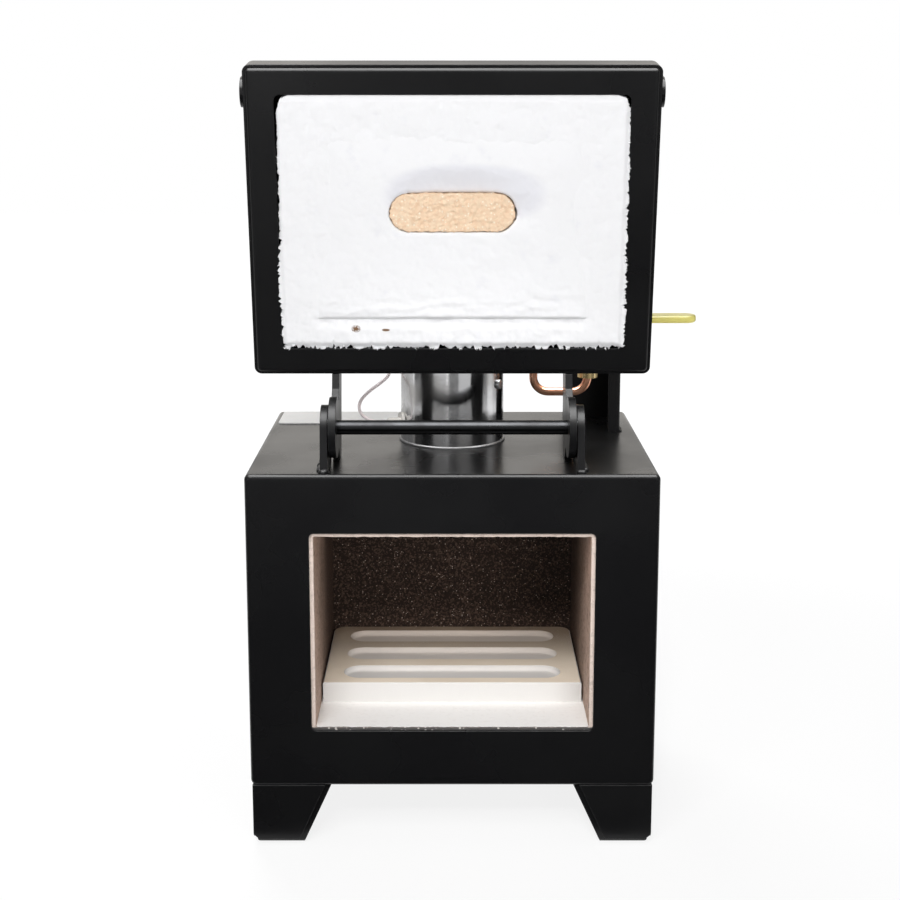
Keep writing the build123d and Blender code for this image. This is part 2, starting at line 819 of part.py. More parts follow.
def make_jet_bridge():
    """Strip across the top of the shroud that carries the gas jet over the bell."""
    low = shroud_height - jet_bridge_drop - jet_bridge_thickness
    strip = burner_strip(bridge_width + 2, jet_bridge_thickness, low, 90)
    hole = bar(jet_radius, (0, burner_back, body_top), (0, burner_back, body_top + shroud_height))
    return strip - hole


def make_gas_jet():
    """Jet with its orifice, a hexagon on the jet bridge and an arm that takes the gas tube."""
    seat = shroud_height - jet_bridge_drop
    body = revolve_at_burner([
        (jet_orifice, bell_height + bell_gap), (jet_tip_radius, bell_height + bell_gap),
        (jet_radius, bell_height + bell_gap + 5), (jet_radius, seat),
        (jet_body_radius, seat), (jet_body_radius, jet_rise), (jet_orifice, jet_rise),
    ])
    top = (0, burner_back, body_top + jet_rise)
    hexagon = hex_bar(jet_flange, (0, burner_back, body_top + seat), (0, burner_back, body_top + seat + 7))
    hexagon = hexagon - bar(jet_orifice, (0, burner_back, body_top), (0, burner_back, body_top + seat + 8))
    arm = bar(jet_body_radius, top, (jet_arm, burner_back, body_top + jet_rise))
    corner = Pos(*top) * Sphere(jet_body_radius)
    gas_way = bar(gas_tube_bore, top, (jet_arm + 1, burner_back, body_top + jet_rise))
    return body + hexagon + (arm + corner - gas_way)


def gas_tube_route():
    """Middle line of the gas tube: out from the jet, down, round the U bend and up to the elbow."""
    y = burner_back
    level = body_top + jet_rise
    low = body_top + gas_low
    return [
        (jet_arm, y, level), (gas_down_x, y, level), (gas_down_x, y, low),
        (gas_up_x, y, low), (gas_up_x, y, body_top + elbow_base),
    ]


def make_gas_tube():
    """Copper tube, bent on one radius."""
    path = FilletPolyline(*gas_tube_route(), radius=gas_tube_bend)
    start = Plane(origin=gas_tube_route()[0], z_dir=(1, 0, 0))
    ring = start.location * (Circle(gas_tube_radius) - Circle(gas_tube_bore))
    return sweep(ring, path)


def make_tube_nuts():
    """The nut at each end of the gas tube."""
    level = body_top + jet_rise
    at_jet = ((jet_arm, burner_back, level), (jet_arm + tube_nut_length, burner_back, level))
    top = body_top + elbow_base
    at_elbow = ((gas_up_x, burner_back, top - tube_nut_length), (gas_up_x, burner_back, top))
    nuts = []
    for start, end in (at_jet, at_elbow):
        nut = hex_bar(tube_nut_size, start, end)
        middle = [(a + b) / 2 for a, b in zip(start, end)]
        collar = bar(tube_nut_size * 0.53, middle, end if end == at_jet[1] else start)
        nuts.append((nut & bar(tube_nut_size * 0.56, start, end)) + collar - bar(gas_tube_radius, start, end))
    return Compound(children=nuts)


def make_outlet_elbow():
    """Elbow from the valve down to the gas tube."""
    low = (gas_up_x, burner_back, body_top + elbow_base)
    corner = (gas_up_x, burner_back, valve_level)
    end = (gas_up_x, burner_back + elbow_reach, valve_level)
    hex_start = (gas_up_x, burner_back + elbow_reach - elbow_hex, valve_level)
    solid = bar(elbow_radius, low, corner) + bar(elbow_radius, corner, end)
    solid = solid + Pos(*corner) * Sphere(elbow_radius) + hex_bar(valve_hex * 0.85, hex_start, end)
    return solid - bar(gas_tube_bore, low, corner) - bar(gas_tube_bore, corner, end)


def valve_point(along, rise):
    """Point on the valve's middle plane, from its centre."""
    return (gas_up_x, valve_back + along, valve_level + rise)


def make_valve_body():
    """Ball valve body: barrel, hexagon at each end, bonnet for the stem."""
    half = valve_length / 2
    barrel = bar(valve_barrel_radius, valve_point(-half, 0), valve_point(half, 0))
    waist = half - valve_hex_length
    ends = hex_bar(valve_hex, valve_point(-half, 0), valve_point(-waist, 0))
    ends = ends + hex_bar(valve_hex, valve_point(waist, 0), valve_point(half, 0))
    middle = bar(valve_barrel_radius, valve_point(-waist, 0), valve_point(waist, 0))
    middle = chamfer(middle.edges().filter_by(GeomType.CIRCLE), 1.5)
    body = (ends & barrel) + middle
    body = body + bar(bonnet_radius, valve_point(0, 0), valve_point(0, bonnet_height))
    body = body - bar(valve_bore, valve_point(-half - 1, 0), valve_point(half + 1, 0))
    body = body - bar(stem_radius + stem_clearance, valve_point(0, 0), valve_point(0, bonnet_height + 1))
    return body - Pos(*valve_point(0, 0)) * Sphere(ball_radius + ball_clearance)


def make_valve_ball():
    """Bored ball, turned across the flow, with a slot for the stem's tongue."""
    ball = Pos(*valve_point(0, 0)) * Sphere(ball_radius)
    reach = ball_radius + 1
    x, y, z = valve_point(0, 0)
    ball = ball - bar(valve_bore, (x - reach, y, z), (x + reach, y, z))
    half = tongue_thickness / 2
    bottom = z + ball_radius - tongue_depth
    slot = block((x - reach, y - half, bottom), (x + reach, y + half, z + reach))
    return ball - slot


def make_valve_stem():
    """Stem with a tongue in the ball."""
    stem = bar(stem_radius, valve_point(0, ball_radius + ball_clearance), valve_point(0, stem_height))
    x, y, z = valve_point(0, 0)
    side = tongue_width / 2
    half = tongue_thickness / 2
    bottom = z + ball_radius - tongue_depth
    tongue = block((x - side, y - half, bottom), (x + side, y + half, z + ball_radius + 1))
    return stem + tongue


def make_valve_lever():
    """Flat lever with a round hub on the stem."""
    hub = Circle(lever_hub_radius)
    length = lever_length - 2
    blade = Pos(length / 2, 0) * SlotOverall(length, lever_blade)
    outline = hub + blade - Circle(stem_radius)
    place = Pos(*valve_point(0, lever_height))
    return place * extrude(outline, lever_thickness)


def make_lever_sleeve():
    """Soft sleeve over the outer part of the lever."""
    middle = lever_length - sleeve_length / 2
    low = lever_height + lever_thickness / 2 - sleeve_thickness / 2
    sleeve = extrude(SlotOverall(sleeve_length, sleeve_width), sleeve_thickness)
    sleeve = fillet(sleeve.edges().filter_by(GeomType.CIRCLE), sleeve_thickness * 0.35)
    sleeve = Pos(*valve_point(0, low)) * Pos(middle, 0, 0) * sleeve
    return sleeve - make_valve_lever()


def make_lever_nut():
    """Nut that holds the lever on the stem."""
    low = lever_height + lever_thickness
    start = valve_point(0, low)
    end = valve_point(0, low + lever_nut_height)
    nut = hex_bar(lever_nut_size, start, end) & bar(lever_nut_size * 0.56, start, end)
    return nut - bar(stem_radius, start, end)


def make_inlet_nipple():
    """Nipple through the bracket, with a smaller threaded stub where a gas hose screws on."""
    start = valve_point(valve_length / 2, 0)
    shoulder = (gas_up_x, bracket_back + bracket_sheet + bulkhead_nut_thickness, valve_level)
    end = (gas_up_x, shoulder[1] + nipple_stub, valve_level)
    stub = bar(nipple_stub_radius, shoulder, end)
    stub = chamfer(stub.edges().filter_by(GeomType.CIRCLE).sort_by(Axis.Y)[-1], nipple_seat)
    return bar(nipple_radius, start, shoulder) + stub - bar(valve_bore, start, end)


def make_bulkhead_nuts():
    """A nut on each side of the bracket."""
    nuts = []
    for y in (bracket_back - bulkhead_nut_thickness, bracket_back + bracket_sheet):
        start = (gas_up_x, y, valve_level)
        end = (gas_up_x, y + bulkhead_nut_thickness, valve_level)
        nut = hex_bar(bulkhead_nut_size, start, end) & bar(bulkhead_nut_size * 0.56, start, end)
        nuts.append(nut - bar(nipple_radius, start, end))
    return Compound(children=nuts)


def make_valve_bracket():
    """Folded post: a back leaf that holds the nipple, a side leaf and a narrow return at the front."""
    high = body_top + bracket_height
    back = block((bracket_left, bracket_back, body_top), (bracket_right, bracket_back + bracket_sheet, high))
    side = block((bracket_right - bracket_sheet, bracket_front, body_top),
                 (bracket_right, bracket_back + bracket_sheet, high))
    front = block((bracket_right - bracket_return, bracket_front, body_top),
                  (bracket_right, bracket_front + bracket_sheet, high))
    post = back + side + front
    outer = [e for e in post.edges().filter_by(Axis.Z) if abs(e.center().X - bracket_right) < 0.01]
    post = fillet(outer, bracket_sheet * 0.9)
    hole = bar(nipple_radius + screw_clearance, (gas_up_x, bracket_back - 1, valve_level),
               (gas_up_x, bracket_back + bracket_sheet + 1, valve_level))
    post = post - hole
    free = post.edges().filter_by(Axis.Y).group_by(Axis.Z)[-1].sort_by(Axis.X)[0]
    return fillet(free, bracket_corner)


def igniter_point(x):
    return (x, igniter_back, body_top + igniter_rise)


def make_igniter_bracket():
    """Small angle that holds the igniter behind the shroud."""
    half = igniter_leaf_width / 2
    low, high = igniter_back - half, igniter_back + half
    upright = block((igniter_leaf_x, low, body_top),
                    (igniter_leaf_x + igniter_leaf, high, body_top + igniter_leaf_top))
    upright = fillet(upright.edges().filter_by(Axis.X).group_by(Axis.Z)[-1], 5)
    base = block((igniter_leaf_x, low, body_top), (igniter_leaf_x + igniter_leaf_width, high,
                                                   body_top + igniter_leaf))
    bore = bar(igniter_radius, igniter_point(igniter_leaf_x - 1), igniter_point(igniter_leaf_x + igniter_leaf + 1))
    return upright + base - bore


def make_igniter_body():
    """Spark igniter: barrel through the bracket, flange, pocket for the button, terminal at the left."""
    face = igniter_leaf_x + igniter_leaf
    barrel = bar(igniter_radius, igniter_point(igniter_left), igniter_point(face))
    barrel = chamfer(barrel.edges().filter_by(GeomType.CIRCLE).sort_by(Axis.X)[0], 1.5)
    flange = bar(igniter_flange_radius, igniter_point(face), igniter_point(face + igniter_flange))
    flange = fillet(flange.edges().filter_by(GeomType.CIRCLE).sort_by(Axis.X)[-1], 1.0)
    collar = bar(igniter_flange_radius, igniter_point(igniter_leaf_x - 5), igniter_point(igniter_leaf_x))
    terminal = bar(2 * lead_radius, igniter_point(igniter_left - igniter_terminal), igniter_point(igniter_left))
    pocket = bar(button_radius + button_clearance,
                 igniter_point(face + igniter_flange - button_root - button_travel - 1),
                 igniter_point(face + igniter_flange + 1))
    return barrel + flange + collar + terminal - pocket


def make_igniter_button():
    """Push button of the igniter."""
    face = igniter_leaf_x + igniter_leaf + igniter_flange
    button = bar(button_radius, igniter_point(face - button_root), igniter_point(face + button_stand))
    return fillet(button.edges().filter_by(GeomType.CIRCLE).sort_by(Axis.X)[-1], 1.5)


def gland_point(radius):
    return around_burner(gland_azimuth, radius, gland_rise)


def make_electrode_gland():
    """Gland that carries the spark lead through the shroud."""
    shank = bar(gland_shank, gland_point(shroud_bore - gland_reach), gland_point(shroud_radius))
    flange = bar(gland_flange_radius, gland_point(shroud_radius), gland_point(shroud_radius + gland_flange))
    boot_end = shroud_radius + gland_flange + gland_boot
    boot = bar(gland_boot_radius, gland_point(shroud_radius + gland_flange), gland_point(boot_end))
    outer = boot.edges().filter_by(GeomType.CIRCLE).sort_by_distance(gland_point(boot_end))[0]
    boot = chamfer(outer, 1.2)
    return shank + flange + boot


def make_electrode_rod():
    """Bent ceramic rod with a metal tip, from the gland down beside the nozzle."""
    seat = gland_point(shroud_bore - gland_reach)
    start = Vector(*gland_point(shroud_bore - gland_reach - electrode_radius))
    nozzle_top = ceiling_level + muffle_wall + nozzle_flange + nozzle_socket
    end = Vector(-mixing_radius - 6, burner_back - 5, nozzle_top)
    run = (end - start).normalized()
    rod = bar(electrode_radius, tuple(start), tuple(end))
    tip = bar(electrode_tip_radius, tuple(end), tuple(end + run * electrode_tip))
    bend = Pos(*start) * Sphere(electrode_radius)
    return bar(electrode_radius, seat, tuple(start)) + bend + rod + tip


def lead_route():
    """Corners of the spark lead's route, from the igniter round the shroud to the gland."""
    z = body_top + igniter_rise
    end = gland_point(shroud_radius + gland_flange + gland_boot)
    before = gland_point(shroud_radius + gland_flange + gland_boot + 9)
    return [
        igniter_point(igniter_left - igniter_terminal),
        (-42, igniter_back, z),
        (-50, 161, z),
        (-51, 147, z - 1.5),
        (-47, 133, z - 2.5),
        (-47, 119, z - 4),
        (-52.5, 109, z - 7.5),
        (-61.5, 104, z - 13),
        (-68.5, 101, z - 20.5),
        (-67.5, 97.5, z - 29),
        before,
        end,
    ]


def make_ignition_lead():
    """Spark lead: straight runs joined by arcs as large as the runs allow."""
    points = [Vector(*p) for p in lead_route()]
    radii = []
    for a, b, c in zip(points, points[1:], points[2:]):
        run = min((b - a).length, (c - b).length)
        turn = math.radians((b - a).get_angle(c - b))
        radii.append(0.45 * run / math.tan(turn / 2))
    print("lead radii", [round(r, 1) for r in radii])
    path = FilletPolyline(*points, radius=radii)
    start = Plane(origin=points[0], z_dir=points[1] - points[0])
    lead = sweep(start.location * Circle(lead_radius), path)
    print("lead length", round(path.length, 1), "volume ratio",
          round(lead.volume / (math.pi * lead_radius ** 2 * path.length), 4))
    return lead


pieces = {
    "front_panel": make_front_panel(),
    "casing_wrap": make_casing_wrap(),
    "rear_panel": make_rear_panel(),
    "rear_panel_screws": make_rear_screws(),
    "front_left_foot": make_foot(-1, 1),
    "front_right_foot": make_foot(1, 1),
    "rear_left_foot": make_foot(-1, -1),
    "rear_right_foot": make_foot(1, -1),
    "mouth_seal": make_mouth_seal(),
    **make_muffle(),
    **make_insulation(),
    "hearth_plate": make_hearth_plate(),
    "hinge_lug_left": make_hinge_lug(-1),
    "hinge_lug_right": make_hinge_lug(1),
    "hinge_arm_left": make_hinge_arm(-1),
    "hinge_arm_right": make_hinge_arm(1),
    "hinge_rod": make_hinge_rod(),
    "hinge_washers": make_hinge_washers(),
    "burner_shroud": make_burner_shroud(),
    "shroud_base_ring": make_base_ring(),
    "shroud_screws": make_shroud_screws(),
    "burner_bridge": make_burner_bridge(),
    "mixing_tube": make_mixing_tube(),
    "flame_nozzle": make_flame_nozzle(),
    "jet_bridge": make_jet_bridge(),
    "gas_jet": make_gas_jet(),
    "copper_gas_tube": make_gas_tube(),
    "gas_tube_nuts": make_tube_nuts(),
    "outlet_elbow": make_outlet_elbow(),
    "valve_body": make_valve_body(),
    "valve_ball": make_valve_ball(),
    "valve_stem": make_valve_stem(),
    "valve_lever": make_valve_lever(),
    "lever_sleeve": make_lever_sleeve(),
    "lever_nut": make_lever_nut(),
    "inlet_nipple": make_inlet_nipple(),
    "bulkhead_nuts": make_bulkhead_nuts(),
    "valve_bracket": make_valve_bracket(),
    "igniter_bracket": make_igniter_bracket(),
    "igniter_body": make_igniter_body(),
    "igniter_button": make_igniter_button(),
    "electrode_gland": make_electrode_gland(),
    "electrode_rod": make_electrode_rod(),
    "ignition_lead": make_ignition_lead(),
}

door_pieces = {
    "door_pan": make_door_pan(),
    "door_frame": make_door_frame(),
    "door_blanket": make_door_blanket(),
    "door_pad": make_door_pad(),
    "door_handle": make_door_handle(),
    "handle_screws": make_handle_screws(),
    "vent_plug": make_vent_plug(),
}
for name, piece in door_pieces.items():
    pieces[name] = open_door(piece)

# The origin goes to the bottom centre of the box round everything but the spark lead.
boxes = [piece.bounding_box() for name, piece in pieces.items() if name != "ignition_lead"]
centre_x = (min(b.min.X for b in boxes) + max(b.max.X for b in boxes)) / 2
centre_y = (min(b.min.Y for b in boxes) + max(b.max.Y for b in boxes)) / 2
lowest = min(b.min.Z for b in boxes)

os.makedirs("parts", exist_ok=True)
for name, piece in pieces.items():
    export_step(Pos(-centre_x, -centre_y, -lowest) * piece, f"parts/{name}.step")

print("origin shift", round(-centre_x, 3), round(-centre_y, 3), round(-lowest, 3))
print("pivot", round(pivot_back - centre_y, 3), round(pivot_z - lowest, 3))
print("box", [round(min(b.min.Z for b in boxes), 2), round(max(b.max.Z for b in boxes), 2)])
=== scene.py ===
# %% [markdown]
# A small gas furnace stands open: its door has swung up over the top and shows a white fibre lining, and
# the mouth below it shows a grooved hearth plate. This lesson dresses the bare pieces with paint, polished
# steel, copper, refractory and fibre. It starts by loading the furnace as a frame that never moves.

# %% Load the furnace
import json
import math
import random

import bmesh
import bpy
from mathutils import Matrix, Vector, noise


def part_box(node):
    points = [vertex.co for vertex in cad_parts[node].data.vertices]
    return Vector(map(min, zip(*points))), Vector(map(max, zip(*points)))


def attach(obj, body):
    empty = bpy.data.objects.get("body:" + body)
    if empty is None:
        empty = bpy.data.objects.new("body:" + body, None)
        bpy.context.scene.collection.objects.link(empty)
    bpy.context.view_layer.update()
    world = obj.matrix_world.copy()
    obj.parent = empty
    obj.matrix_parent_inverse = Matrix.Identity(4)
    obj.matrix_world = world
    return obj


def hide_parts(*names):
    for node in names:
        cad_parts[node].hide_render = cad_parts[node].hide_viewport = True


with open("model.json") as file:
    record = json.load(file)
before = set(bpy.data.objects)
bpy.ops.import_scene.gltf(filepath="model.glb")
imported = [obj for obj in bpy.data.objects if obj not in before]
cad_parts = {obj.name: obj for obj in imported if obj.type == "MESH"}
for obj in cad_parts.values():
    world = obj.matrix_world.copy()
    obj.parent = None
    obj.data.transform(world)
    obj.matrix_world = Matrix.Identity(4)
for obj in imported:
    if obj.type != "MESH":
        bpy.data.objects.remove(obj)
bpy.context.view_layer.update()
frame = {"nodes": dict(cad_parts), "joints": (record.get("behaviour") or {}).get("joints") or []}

random.seed(7)
print("pieces in the frame", len(frame["nodes"]))

# %% [markdown]
# Every later place is easier to say in millimetres from the middle of the front panel's foot
# line: x to the right, y to the back, z up from the bench. The two corners of the front panel
# tell where that point lies in the frame. The door leans when it is open, so its own places
# are said along it instead: across, up the door from the hinge pin, and out towards the
# viewer from the plane that holds the pin.

# %% Places on the body and on the door
panel_low, panel_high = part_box("front_panel")
middle_x = (panel_low.x + panel_high.x) / 2
front_y = panel_low.y
MM = 0.001


def spot(x, y, z):
    """Point in the frame from millimetres on the furnace."""
    return Vector((middle_x + x * MM, front_y + y * MM, z * MM))


hinge = next(j for j in frame["joints"] if j["name"] == "door_hinge")
pin = Vector(hinge["pos_m"])
door_lean = math.radians(9)
up_the_door = Vector((0, -math.sin(door_lean), math.cos(door_lean)))
out_of_the_door = Vector((0, -math.cos(door_lean), -math.sin(door_lean)))


def door_spot(x, up, out):
    """Point in the frame from millimetres on the open door."""
    start = Vector((middle_x + x * MM, pin.y, pin.z))
    return start + up_the_door * (up * MM) + out_of_the_door * (out * MM)


body_top = panel_high.z / MM
print("body top at", round(body_top, 1), "mm, pin at", [round(v, 4) for v in pin])

# %% [markdown]
# A few steps come back for every new piece. An object is made from its data and linked to the
# scene. A mesh that was built face by face becomes an object, and its faces are shaded smooth.
# A piece with a bevel or a modifier is turned into the plain mesh that it evaluates to. And each piece that
# is added gets its material and the body that it rides on.

# %% Helpers for pieces


def add_object(name, data):
    """New object, linked to the scene."""
    item = bpy.data.objects.new(name, data)
    bpy.context.scene.collection.objects.link(item)
    return item


def object_from(name, mesh):
    """Object from a finished bmesh, which is freed."""
    data = bpy.data.meshes.new(name)
    mesh.to_mesh(data)
    mesh.free()
    return add_object(name, data)


def shade_smooth(piece):
    """Smooth shading on every face."""
    for polygon in piece.data.polygons:
        polygon.use_smooth = True


def evaluated_mesh(piece):
    """Plain mesh of a piece with its bevel or modifiers applied."""
    graph = bpy.context.evaluated_depsgraph_get()
    graph.update()
    return bpy.data.meshes.new_from_object(piece.evaluated_get(graph))


def dress(piece, material, body):
    """Material and body of an added piece."""
    piece.data.materials.append(material)
    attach(piece, body)


# %% [markdown]
# The photograph was taken from a little above the top, with the lens tilted down about ten
# degrees and the picture cropped so that the optical axis lies above its middle. A camera at
# the same place, with the same tilt and a small vertical shift, gives the same view. Its
# distance matters most, because it sets how much of the top shows.

# %% Camera
camera_distance = 977.6
camera_above_top = 243.9
camera_aside = -1.6
camera_tilt = 9.7

camera_data = bpy.data.cameras.new("camera")
camera_data.sensor_width = 36.0
camera_data.lens = 60.0
camera_data.shift_y = -0.0979
camera_data.clip_start = 0.01
camera = add_object("camera", camera_data)
camera.location = spot(camera_aside, -camera_distance, body_top + camera_above_top)
camera.rotation_euler = (math.radians(90 - camera_tilt), 0, 0)
bpy.context.scene.camera = camera
print("camera at", [round(value, 3) for value in camera.location])

# %% [markdown]
# The spark lead is the one free cord: it leaves the igniter behind the shroud, swings out to the left and
# comes back to the gland in the shroud's side. A real lead is springy silicone, so it is one smooth curve.
# A NURBS spline through listed control points gives that, and a round bevel gives it its thickness. The
# finished curve is kept as a mesh, whose bounds are those of the cord itself.

# %% Spark lead
lead_thickness = 2.4
spark_level = body_top + 50
gland_level = body_top + 15
lead_points = [
    (-30.0, 172.0, spark_level),
    (-42.0, 172.0, spark_level),
    (-50.0, 161.0, spark_level),
    (-51.0, 147.0, spark_level - 1.5),
    (-47.0, 133.0, spark_level - 2.5),
    (-47.0, 119.0, spark_level - 4),
    (-52.5, 109.0, spark_level - 7.5),
    (-61.5, 104.0, spark_level - 13),
    (-68.5, 101.0, spark_level - 20.5),
    (-67.5, 97.5, spark_level - 29),
    (-56.2, 95.7, gland_level),
    (-47.65, 98.52, gland_level),
]


def smooth_cord(name, points, thickness):
    """Round cord along one NURBS spline, and the points of its centreline."""
    data = bpy.data.curves.new(name, "CURVE")
    data.dimensions = "3D"
    spline = data.splines.new("NURBS")
    spline.points.add(len(points) - 1)
    for control, place in zip(spline.points, points):
        control.co = (*spot(*place), 1.0)
    spline.order_u = 3
    spline.use_endpoint_u = True
    spline.resolution_u = 12
    data.bevel_resolution = 5
    data.use_fill_caps = True
    path = add_object(name, data)
    shapes = []
    for depth in (0.0, thickness * MM / 2):
        data.bevel_depth = depth
        path.update_tag()
        shapes.append(evaluated_mesh(path))
    bpy.data.objects.remove(path)
    centreline = [tuple(point.co) for point in shapes[0].vertices]
    return add_object(name, shapes[1]), centreline


spark_lead, lead_line = smooth_cord("spark_lead", lead_points, lead_thickness)
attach(spark_lead, "furnace")
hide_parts("ignition_lead")
print("spark lead", len(lead_line), "points along", len(spark_lead.data.polygons), "faces")

# %% [markdown]
# Materials come next. Several of them share the same effects: a fine grain, a slow change
# from place to place, light wear along the edges, and grains of a second colour. Each effect
# is built once as a shader node group with named inputs, and every material places it with
# its own values, so one change to a group reaches them all.

# %% Helpers for groups and materials


def start_group(name, inputs, outputs):
    """Empty shader group with its sockets, its entry and its exit."""
    group = bpy.data.node_groups.new(name, "ShaderNodeTree")
    for label, value in inputs:
        socket = group.interface.new_socket(name=label, in_out="INPUT", socket_type="NodeSocketFloat")
        socket.default_value = value
    for label in outputs:
        group.interface.new_socket(name=label, in_out="OUTPUT", socket_type="NodeSocketFloat")
    entry = group.nodes.new("NodeGroupInput")
    leave = group.nodes.new("NodeGroupOutput")
    return group, entry, leave


def add_math(tree, kind, first, second, clamp=False):
    """Math node on two values, each a socket or a number."""
    node = tree.nodes.new("ShaderNodeMath")
    node.operation = kind
    node.use_clamp = clamp
    for slot_number, value in enumerate((first, second)):
        if isinstance(value, (int, float)):
            node.inputs[slot_number].default_value = value
        else:
            tree.links.new(value, node.inputs[slot_number])
    return node.outputs[0]


def add_noise(tree, vector, scale, detail=2.0, roughness=0.5):
    """Noise texture; its scale may be a number or a socket."""
    node = tree.nodes.new("ShaderNodeTexNoise")
    node.inputs["Detail"].default_value = detail
    node.inputs["Roughness"].default_value = roughness
    if isinstance(scale, (int, float)):
        node.inputs["Scale"].default_value = scale
    else:
        tree.links.new(scale, node.inputs["Scale"])
    tree.links.new(vector, node.inputs["Vector"])
    return node.outputs["Fac"]


def add_vectors(tree, kind, first, second=None):
    """Vector Math node; its second vector is a socket, plain or not needed."""
    node = tree.nodes.new("ShaderNodeVectorMath")
    node.operation = kind
    tree.links.new(first, node.inputs[0])
    if isinstance(second, Vector):
        node.inputs[1].default_value = second
    elif second is not None:
        tree.links.new(second, node.inputs[1])
    return node.outputs["Value" if kind in ("DOT_PRODUCT", "LENGTH") else "Vector"]


def object_space(tree):
    """Metres on the piece itself."""
    return tree.nodes.new("ShaderNodeTexCoord").outputs["Object"]


def split_vector(tree, vector):
    """Sockets X, Y and Z of a vector."""
    node = tree.nodes.new("ShaderNodeSeparateXYZ")
    tree.links.new(vector, node.inputs[0])
    return node.outputs


def add_range(tree, value, low, high, to_low=0.0, to_high=1.0):
    """Map Range node with soft ends; its limits may be numbers or sockets."""
    node = tree.nodes.new("ShaderNodeMapRange")
    node.interpolation_type = "SMOOTHSTEP"
    for label, given in (("Value", value), ("From Min", low), ("From Max", high),
                         ("To Min", to_low), ("To Max", to_high)):
        if isinstance(given, (int, float)):
            node.inputs[label].default_value = given
        else:
            tree.links.new(given, node.inputs[label])
    return node.outputs["Result"]


# %% [markdown]
# Grain is the fine unevenness that a fingertip feels: orange peel in paint, drawing lines in
# steel, fluff in fibre. Drift is the slow unevenness that the eye sees as smudges. Both are
# noise, at two very different scales, so one group makes the two values at once.

# %% Group: grain and drift
grain_group, entry, leave = start_group(
    "grain_and_drift", [("Grain Scale", 900.0), ("Drift Scale", 14.0), ("Stretch", 1.0)],
    ["Grain", "Drift"],
)
place = object_space(grain_group)
stretch = grain_group.nodes.new("ShaderNodeCombineXYZ")
stretch.inputs["X"].default_value = 1.0
stretch.inputs["Y"].default_value = 1.0
grain_group.links.new(entry.outputs["Stretch"], stretch.inputs["Z"])
scaled = add_vectors(grain_group, "MULTIPLY", place, stretch.outputs[0])
grain_group.links.new(add_noise(grain_group, scaled, entry.outputs["Grain Scale"], 3.0, 0.6),
                      leave.inputs["Grain"])
grain_group.links.new(add_noise(grain_group, place, entry.outputs["Drift Scale"], 4.0, 0.55),
                      leave.inputs["Drift"])

# %% [markdown]
# Edges of painted and plated parts are where the coat is thinnest. The Bevel node gives the
# normal that a rounded edge would have; where it differs from the real normal there is an
# edge. Noise breaks the band up, so that it reads as rubbed and not as drawn.

# %% Group: edge rub
edge_group, entry, leave = start_group(
    "edge_rub", [("Width", 0.0012), ("Breakup", 260.0), ("Amount", 1.0)], ["Mask"]
)
rounded = edge_group.nodes.new("ShaderNodeBevel")
rounded.samples = 6
edge_group.links.new(entry.outputs["Width"], rounded.inputs["Radius"])
surface = edge_group.nodes.new("ShaderNodeNewGeometry")
facing = add_vectors(edge_group, "DOT_PRODUCT", rounded.outputs[0], surface.outputs["Normal"])
edge = add_range(edge_group, facing, 0.995, 0.86)
patches = add_range(edge_group, add_noise(edge_group, object_space(edge_group),
                                          entry.outputs["Breakup"], 4.0, 0.65), 0.42, 0.66)
edge = add_math(edge_group, "MULTIPLY", edge, patches)
edge_group.links.new(add_math(edge_group, "MULTIPLY", edge, entry.outputs["Amount"], clamp=True),
                     leave.inputs["Mask"])

# %% [markdown]
# Refractory and hearth ceramic are cast from crushed grains. A Voronoi texture cuts space
# into cells, and each cell gets a random value: cells above a limit become pale grains. The
# same cells give the height that makes grains catch the light.

# %% Group: cast grains
cast_group, entry, leave = start_group(
    "cast_grains", [("Grain Scale", 700.0), ("Share", 0.1), ("Fine Scale", 1800.0)],
    ["Pale", "Height", "Tone"],
)
place = object_space(cast_group)
cells = cast_group.nodes.new("ShaderNodeTexVoronoi")
cast_group.links.new(place, cells.inputs["Vector"])
cast_group.links.new(entry.outputs["Grain Scale"], cells.inputs["Scale"])
tint = cast_group.nodes.new("ShaderNodeSeparateColor")
cast_group.links.new(cells.outputs["Color"], tint.inputs[0])
limit = add_math(cast_group, "SUBTRACT", 1.0, entry.outputs["Share"])
chosen = add_math(cast_group, "GREATER_THAN", tint.outputs["Red"], limit)
round_grain = add_range(cast_group, cells.outputs["Distance"], 0.45, 0.15)
cast_group.links.new(add_math(cast_group, "MULTIPLY", chosen, round_grain), leave.inputs["Pale"])
fine = add_noise(cast_group, place, entry.outputs["Fine Scale"], 3.0, 0.7)
relief = add_math(cast_group, "ADD", add_math(cast_group, "MULTIPLY", fine, 0.6),
                  add_math(cast_group, "MULTIPLY", round_grain, tint.outputs["Green"]))
cast_group.links.new(relief, leave.inputs["Height"])
cast_group.links.new(tint.outputs["Blue"], leave.inputs["Tone"])
print("shader groups", [g.name for g in bpy.data.node_groups])

# %% [markdown]
# A material needs the same few steps each time: a Principled BSDF with its plain values, a
# group or two, a mix of colours, and a bump. These helpers keep each material short and let
# it say only what is its own.

# %% Helpers for one material


def start_material(name, color, roughness, metallic=0.0, **plain):
    """Material with a Principled BSDF; plain values go on its own sockets."""
    material = bpy.data.materials.new(name)
    material.use_nodes = True
    tree = material.node_tree
    shader = tree.nodes["Principled BSDF"]
    shader.inputs["Base Color"].default_value = (*color, 1.0)
    shader.inputs["Roughness"].default_value = roughness
    shader.inputs["Metallic"].default_value = metallic
    for label, value in plain.items():
        shader.inputs[label.replace("_", " ")].default_value = value
    return material, tree, shader


def place_group(tree, group, **values):
    """One use of a shared group, with its own values."""
    node = tree.nodes.new("ShaderNodeGroup")
    node.node_tree = group
    for label, value in values.items():
        node.inputs[label.replace("_", " ")].default_value = value
    return node


